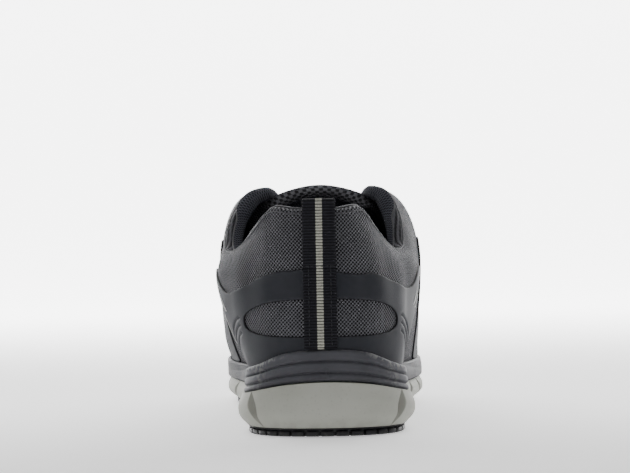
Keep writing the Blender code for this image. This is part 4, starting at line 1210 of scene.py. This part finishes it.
def notch_columns(wide, slant):
    """Places of the columns at one height, and how deep in a notch each lies."""
    pitch = (LAST_NOTCH - FIRST_NOTCH) / (NOTCHES_PER_SIDE - 1)
    marks = [(0.0, 0.0), (FIRST_NOTCH * 0.35, 0.0), (FIRST_NOTCH * 0.7, 0.0)]
    for k in range(NOTCHES_PER_SIDE):
        centre = FIRST_NOTCH + pitch * k + NOTCH_SLANT * slant * (-1) ** k
        half = NOTCH_HALF_WIDTH * wide
        marks += [(centre - half, 0.0), (centre, 1.0), (centre + half, 0.0)]
        if k < NOTCHES_PER_SIDE - 1:
            marks.append((FIRST_NOTCH + pitch * (k + 0.5), 0.0))
    marks = np.array(marks + [(1.0, 0.0)])
    fine = np.linspace(0, len(marks) - 1, (len(marks) - 1) * NOTCH_PARTS + 1)
    at, deep = (np.interp(fine, np.arange(len(marks)), column) for column in marks.T)
    outer = np.interp(at, SIDE_LENGTHS / SIDE_LENGTH, SIDE_PLACES)
    return np.concatenate([outer, 2 - outer[-2:0:-1]]), np.concatenate([deep, deep[-2:0:-1]])


def midsole_floor(flat):
    return under_sole(flat[:, 1]) + LUG_DEPTH + OUTSOLE_SHEET + GAP


def make_midsole():
    knots, *curves = zip(*MIDSOLE_SIDE)
    rows, low, notch_shade = [], [], []

    def add(flat, z, dirt=0.0, cut=0.0):
        rows.append(with_height(flat, z))
        low.append(np.full(len(flat), dirt))
        notch_shade.append(cut + np.zeros(len(flat)))

    even, _ = notch_columns(0.1, 0.0)
    under = ring(even, 10 * MM)
    add(under, midsole_floor(under))
    for share in np.linspace(0, 1, 23):
        inset, wide, slant = (float(smooth(knots, curve, share)) for curve in curves)
        wide = max(wide, 0.06)
        places, deep = notch_columns(wide, slant)
        flat = ring(places, inset + deep * NOTCH_DEPTH * wide)
        bottom = midsole_floor(flat)
        ledge = rand_edges(places)[0] - GAP
        # The last value marks the notches' faces, which get painted shade.
        add(flat, bottom + share * (ledge - bottom), 1 - step(0.0, 0.3, share),
            step(0.0, 0.18, deep) * step(0.07, 0.16, wide))
    ledge = rand_edges(even)[0] - GAP
    add(ring(even, 2.6 * MM), ledge)
    shoulder = ring(even, foot_inset(even) + 0.5 * MM)
    add(shoulder, ledge)
    for flat in (shoulder, ring(even, 12 * MM)):
        add(flat, seat(flat[:, 1]))
    made = grid_object("midsole_foam", np.array(rows), MATERIALS["midsole"], 22.0, caps=True)
    set_value(made, "low", low)
    set_value(made, "notch_shade", notch_shade)
    dress(made, "midsole", "midsole")


make_midsole()

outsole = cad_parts["outsole"]
for slot in outsole.material_slots:
    slot.material = MATERIALS["outsole"]


TOOTH_PITCH = 8 * MM
TOOTH_GAP = 1.5 * MM
# Section of a tooth: inset in millimetres, share of its height
TOOTH_SECTION = ((5.0, 1.0), (5.0, 0.30), (5.5, 0.04), (7.4, 0.04), (7.8, 0.30), (7.8, 1.0))


def make_tread_edge():
    """Small blocks round the edge of the tread, outside the large ones."""
    count = int(2 * SIDE_LENGTH / TOOTH_PITCH)
    pitch = 2 * SIDE_LENGTH / count
    points, faces = [], []
    for k in range(count):
        start = pitch * (k - 0.5) + TOOTH_GAP / 2
        places = place_at(np.linspace(start, start + pitch - TOOTH_GAP, 4))
        base = len(points)
        for inset, rise in TOOTH_SECTION:
            flat = ring(places, inset * MM)
            points += with_height(flat, under_sole(flat[:, 1]) + (LUG_DEPTH + 0.2 * MM) * rise).tolist()
        faces += quads(6, 4, base)
        faces += [tuple(range(base, base + 24, 4)), tuple(range(base + 23, base, -4))]
    made = mend(new_object("tread_edge", points, faces, MATERIALS["outsole"], 30.0), True)
    dress(made, "outsole")


make_tread_edge()

# Rings of the footbed: inset in millimetres, share of its thickness
FOOTBED_RINGS = (
    (1.5, 0.0), (0.3, 0.2), (0.0, 0.5), (0.2, 0.95), (0.9, 1.17),
    (2.0, 1.15), (4.0, 1.02), (9.0, 0.96), (20.0, 0.94),
)


def make_footbed():
    places = np.arange(200) / 100.0
    rings = []
    for inset, lift in FOOTBED_RINGS:
        flat = ring(places, foot_inset(places) + WALL + (0.7 + inset) * MM)
        rings.append(with_height(flat, seat(flat[:, 1]) + GAP + lift * INSOLE_THICKNESS))
    made = grid_object("footbed", np.array(rings), MATERIALS["insole"], caps=True)
    dress(made, "insole", "insole")


make_footbed()


# Tongue

TONGUE_FRONT = 31 / 32
TONGUE_TOP = 17 / 32
TONGUE_GAP = 2.5 * GAP
TONGUE_ARCH = 6 * MM
TONGUE_ARCH_SPAN = 45 * MM
TONGUE_TOP_RISE = 7 * MM
TONGUE_ROUNDING = 2.6 * MM
TONGUE_PILLOW = 60 * MM
TONGUE_BAND = 5.5 * MM
# Where the top corners rest against the collar: place, height
TONGUE_CORNER = (0.505, 102 * MM)


def tongue_corner(place, lift):
    return inner_point(place, climb_to(place, TONGUE_CORNER[1]), TONGUE_GAP + lift)


def tongue_section(place, lift):
    """A row across the tongue: down the inside of both walls, with an arch between them."""
    rows = np.linspace(0.78, 1.0, 9)
    outer, inner = (inner_point(at, rows, TONGUE_GAP + lift) for at in (place, 2 - place))
    span = inner[-1] - outer[-1]
    t = np.linspace(0, 1, 19)[1:-1]
    bridge = outer[-1] + span * t[:, None]
    bridge[:, 2] += TONGUE_ARCH * np.sin(math.pi * t) ** 1.45 * np.linalg.norm(span) / TONGUE_ARCH_SPAN
    return np.concatenate([outer, bridge, inner[::-1]])


def tongue_surface(lift):
    rows = [tongue_section(p, lift) for p in np.linspace(TONGUE_FRONT, TONGUE_TOP, 64)]
    along = unit((rows[-1] - rows[-4]).mean(0)) * TONGUE_TOP_RISE
    base = rows[-1]
    count = len(base)
    drop = step(0.35, 1.0, np.abs(np.linspace(-1, 1, count)))
    outer, inner = (tongue_corner(p, lift) for p in (TONGUE_CORNER[0], 2 - TONGUE_CORNER[0]))
    middle = (outer + inner) / 2
    turn = np.linspace(math.pi / 2, -math.pi / 2, count)[:, None]
    crest = base[count // 2] + along - middle
    arch = middle + np.sin(turn) * (outer - inner) / 2 + np.cos(turn) * crest
    for t in np.linspace(0, 1, 11)[1:]:
        row = base + along * t
        row[:, 2] -= 0.5 * TONGUE_TOP_RISE * t * drop
        rows.append(row + (arch - row) * step(0.0, 1.0, t))
    return np.array(rows)


def make_tongue():
    top, bottom = tongue_surface(0.0), tongue_surface(TONGUE_THICKNESS)
    from_top = travelled(top[::-1, top.shape[1] // 2])[::-1]
    rounding = np.sqrt(1 - (1 - np.clip(from_top / TONGUE_ROUNDING, 0, 1)) ** 2)[:, None]
    across = np.abs(np.linspace(-1, 1, top.shape[1]))
    edges = np.sqrt(1 - np.clip((across - 0.93) / 0.07, 0, 1) ** 2)
    thick = np.clip(rounding * edges, 0.06, 1)[..., None]
    pillow = 0.6 * MM * np.sin(math.pi * np.clip(from_top / TONGUE_PILLOW, 0, 1))[:, None]
    middle, away = (top + bottom) / 2, unit(top - bottom)
    outer = middle + (top - middle) * thick
    inner = middle + (bottom - middle) * thick - away * (pillow * edges)[..., None]
    body = np.concatenate([outer, inner[:, ::-1]], 1)
    made = grid_object("tongue_pad", body, MATERIALS["spacer"], 70.0, caps=True)
    dress(made, "tongue", "tongue")
    last = int(np.argmax(from_top < TONGUE_BAND))
    lining = inner[: last + 1] - away[: last + 1] * 0.3 * MM
    lining[-1] += away[last] * 0.35 * MM
    dress(grid_object("tongue_lining", lining[:, 2:-2], MATERIALS["lining"], closed=False), "tongue")
    back = away[last, 3:-3]
    seam = [(lining[last, 3:-3] - back * 0.1 * MM, -back)]
    dress(stitches("tongue_stitches", seam, MATERIALS["thread"]), "tongue")


make_tongue()


# Lace

LACE_LIFT = 1.5 * MM
LACE_HUMP = 2.2 * MM
LACE_DIP = LACE_LIFT + 0.4 * MM


def lace_run(start, end, hump):
    """A flat run from one eyelet to another over the tongue, dipping into both."""
    (a, na), (b, nb) = start, end
    over = unit(na + nb)
    t = np.linspace(0, 1, 31)[:, None]
    ups = unit(na * (1 - t) ** 2 + over * 2 * t * (1 - t) + nb * t**2)
    dip = 1 - step(0.0, 0.09, np.minimum(t, 1 - t))
    centres = a + (b - a) * t + over * hump * np.sin(math.pi * t) - ups * dip * LACE_DIP
    along = slope(centres)
    side = unit(np.cross(ups, along))
    wave, rise = circle(16)
    wide = squared(wave, 0.7) * (1 - 0.3 * dip) * LACE_WIDTH / 2
    tall = squared(rise, 0.8) * LACE_THICKNESS * 0.42
    up = np.cross(along, side)
    return centres[:, None] + side[:, None] * wide[..., None] + up[:, None] * tall[:, None]


def eyelet_seat(place):
    return skin(place, EYELET_ROW, GAP + OVERLAY + LACE_LIFT), upper_normal(place, EYELET_ROW)


def make_lace():
    seats = [(eyelet_seat(p), eyelet_seat(2 - p)) for p in EYELETS[::-1]]
    runs = [lace_run(*seats[0], LACE_HUMP * 0.7)]
    for (low_a, low_b), (high_a, high_b) in zip(seats, seats[1:]):
        runs.append(lace_run(low_a, high_b, LACE_HUMP))
        runs.append(lace_run(low_b, high_a, LACE_HUMP + 0.75 * LACE_THICKNESS))
    for k, grid in enumerate(runs):
        made = grid_object(f"lace_run_{k}", grid, MATERIALS["lace"], caps=True)
        dress(made, "lace", *(("lace",) if k == 0 else ()))


make_lace()


# Pull loop: ribbed webbing with a pale line. Its path over and inside the collar gives a share of
# the collar's height and a share of the usual distance, or millimetres inside

PULL_LOOP_FRONT = (
    (0.396, 0.95), (0.425, 1.00), (0.50, 1.00), (0.60, 1.00), (0.70, 1.00), (0.76, 1.05),
    (0.83, 1.45), (0.90, 2.00), (0.97, 2.25), (1.02, 2.10),
)
PULL_LOOP_BACK = ((1.02, 0.35), (0.95, 0.28), (0.87, 0.25), (0.79, 0.25))
FOLD_HEIGHT = 77 * MM
SEAM_START = 43 * MM


def pull_loop_path():
    half = WEBBING / 2
    columns = (PULL_LOOP_FRONT, 0, 2 * GAP + OVERLAY + half), (PULL_LOOP_BACK, GAP + half, MM)
    front, back = (
        [(float(upper(0.0, climb_to(0.0, min(z, 0.995) * COLLAR_HEIGHT))[1]) - near - d * unit_length,
          z * COLLAR_HEIGHT) for z, d in table]
        for table, near, unit_length in columns
    )
    (y, z), last = front[-1], back[0][0]
    rise = COLLAR_HEIGHT + PULL_LOOP_RISE - half - z
    crown = [
        ((y + last) / 2 - (last - y) / 2 * math.cos(math.pi * t),
         z + rise * math.sin(math.pi * t) ** 0.7)
        for t in (0.2, 0.5, 0.8)
    ]
    return np.array(front + crown + back)


def make_pull_loop():
    path = pull_loop_path()
    steps = travelled(path)
    fine = np.arange(0, steps[-1], RIB_PITCH / 6)
    path = np.stack([smooth(steps, column, fine) for column in path.T], -1)
    normal = turned(slope(path))
    rib = np.cos(2 * math.pi * fine / RIB_PITCH)[:, None]
    fold = np.exp(-(((path[:, 1] - FOLD_HEIGHT) / (0.9 * MM)) ** 2)) * (fine < steps[6])
    across = np.linspace(-0.5, 0.5, 25)
    x = across * PULL_LOOP_WIDTH * (1 + 0.018 * rib)
    bend = x * x / (2 * HEEL_WIDTH * 0.46)
    edge = np.sqrt(1 - np.clip((np.abs(across) - 0.46) / 0.04, 0, 1) ** 2)
    layers = []
    for sign in (1, -1):
        thick = (WEBBING / 2 + 0.17 * MM * rib) * edge - 0.45 * MM * fold[:, None] * (sign > 0)
        y, z = (path[:, [k]] + sign * normal[:, [k]] * thick for k in (0, 1))
        layers.append(np.stack([float(top_line(0.0)[0]) + x, y + bend, z], -1))
    front = layers[0]
    body = np.concatenate([front, layers[1][:, ::-1]], 1)
    u = np.concatenate([across, across[::-1], across[:1]]) + 0.5
    uv = np.stack(np.meshgrid(u * PULL_LOOP_WIDTH, fine), -1)
    made = grid_object("pull_loop_webbing", body, MATERIALS["webbing"], 70.0, caps=True, uv=uv)
    dress(made, "webbing", "pull_loop")
    rows = np.flatnonzero((fine < steps[5]) & (path[:, 1] > SEAM_START))
    lines = [front[rows, 4], front[rows, 20], front[rows[-1], 3:22]]
    paths = [(line, np.tile([0.0, -1.0, 0.15], (len(line), 1))) for line in lines]
    thin = (2.4 * MM, 1.7 * MM, 0.22 * MM)
    dress(stitches("pull_loop_stitches", paths, MATERIALS["piping"], *thin), "webbing")


make_pull_loop()


# The studio


def make_floor():
    """A white floor that turns up behind the shoe, and glows more with the distance."""
    s = Surface("floor", (0.9, 0.9, 0.9), 0.9, 0.1)
    s.finish(s.noise(14.0).ramp(0.3, 0.7).mix((0.9, 0.9, 0.9), (0.88, 0.88, 0.88)))
    s.set("Emission Color", (1.0, 1.0, 1.0))
    along = s.split(s.place)[1]
    s.set("Emission Strength", along.ramp(-0.4, 0.1, 0.12, 0.9) + along.ramp(0.2, 1.4, 0.0, 3.8))
    turns = np.linspace(0, math.pi / 2, 9)[1:]
    y = np.array([*np.linspace(-2.0, 1.6, 16), *(1.6 + 0.6 * np.sin(turns)), 2.2, 2.2])
    z = np.array([*np.zeros(16), *(0.6 * (1 - np.cos(turns))), 1.6, 3.0])
    grid = np.stack(np.broadcast_arrays(np.linspace(-3.0, 3.0, 25), y[:, None], z[:, None]), -1)
    floor = grid_object("studio_floor", grid, s.made, closed=False)


def area_light(name, at, towards, size, power):
    data = bpy.data.lights.new(name, "AREA")
    data.shape = "RECTANGLE"
    data.size, data.size_y = size
    data.energy = power
    made = bpy.data.objects.new(name, data)
    made.location = at
    x, y, z = np.array(towards) - np.array(at)
    made.rotation_euler = (math.atan2(math.hypot(x, y), -z), 0.0, math.atan2(y, x) - math.pi / 2)
    bpy.context.scene.collection.objects.link(made)


def make_light():
    world = bpy.data.worlds.new("studio")
    world.use_nodes = True
    background = world.node_tree.nodes["Background"]
    background.inputs["Color"].default_value = (1.0, 1.0, 1.0, 1.0)
    background.inputs["Strength"].default_value = 0.26
    bpy.context.scene.world = world
    area_light("key", (-0.5, -0.9, 1.1), (0.0, -0.05, 0.05), (0.9, 0.7), 4.0)
    area_light("fill", (0.9, -0.7, 0.7), (0.0, -0.05, 0.05), (0.8, 0.8), 1.3)
    area_light("top", (0.0, 0.2, 1.4), (0.0, 0.0, 0.05), (1.2, 1.2), 2.6)


make_floor()
make_light()
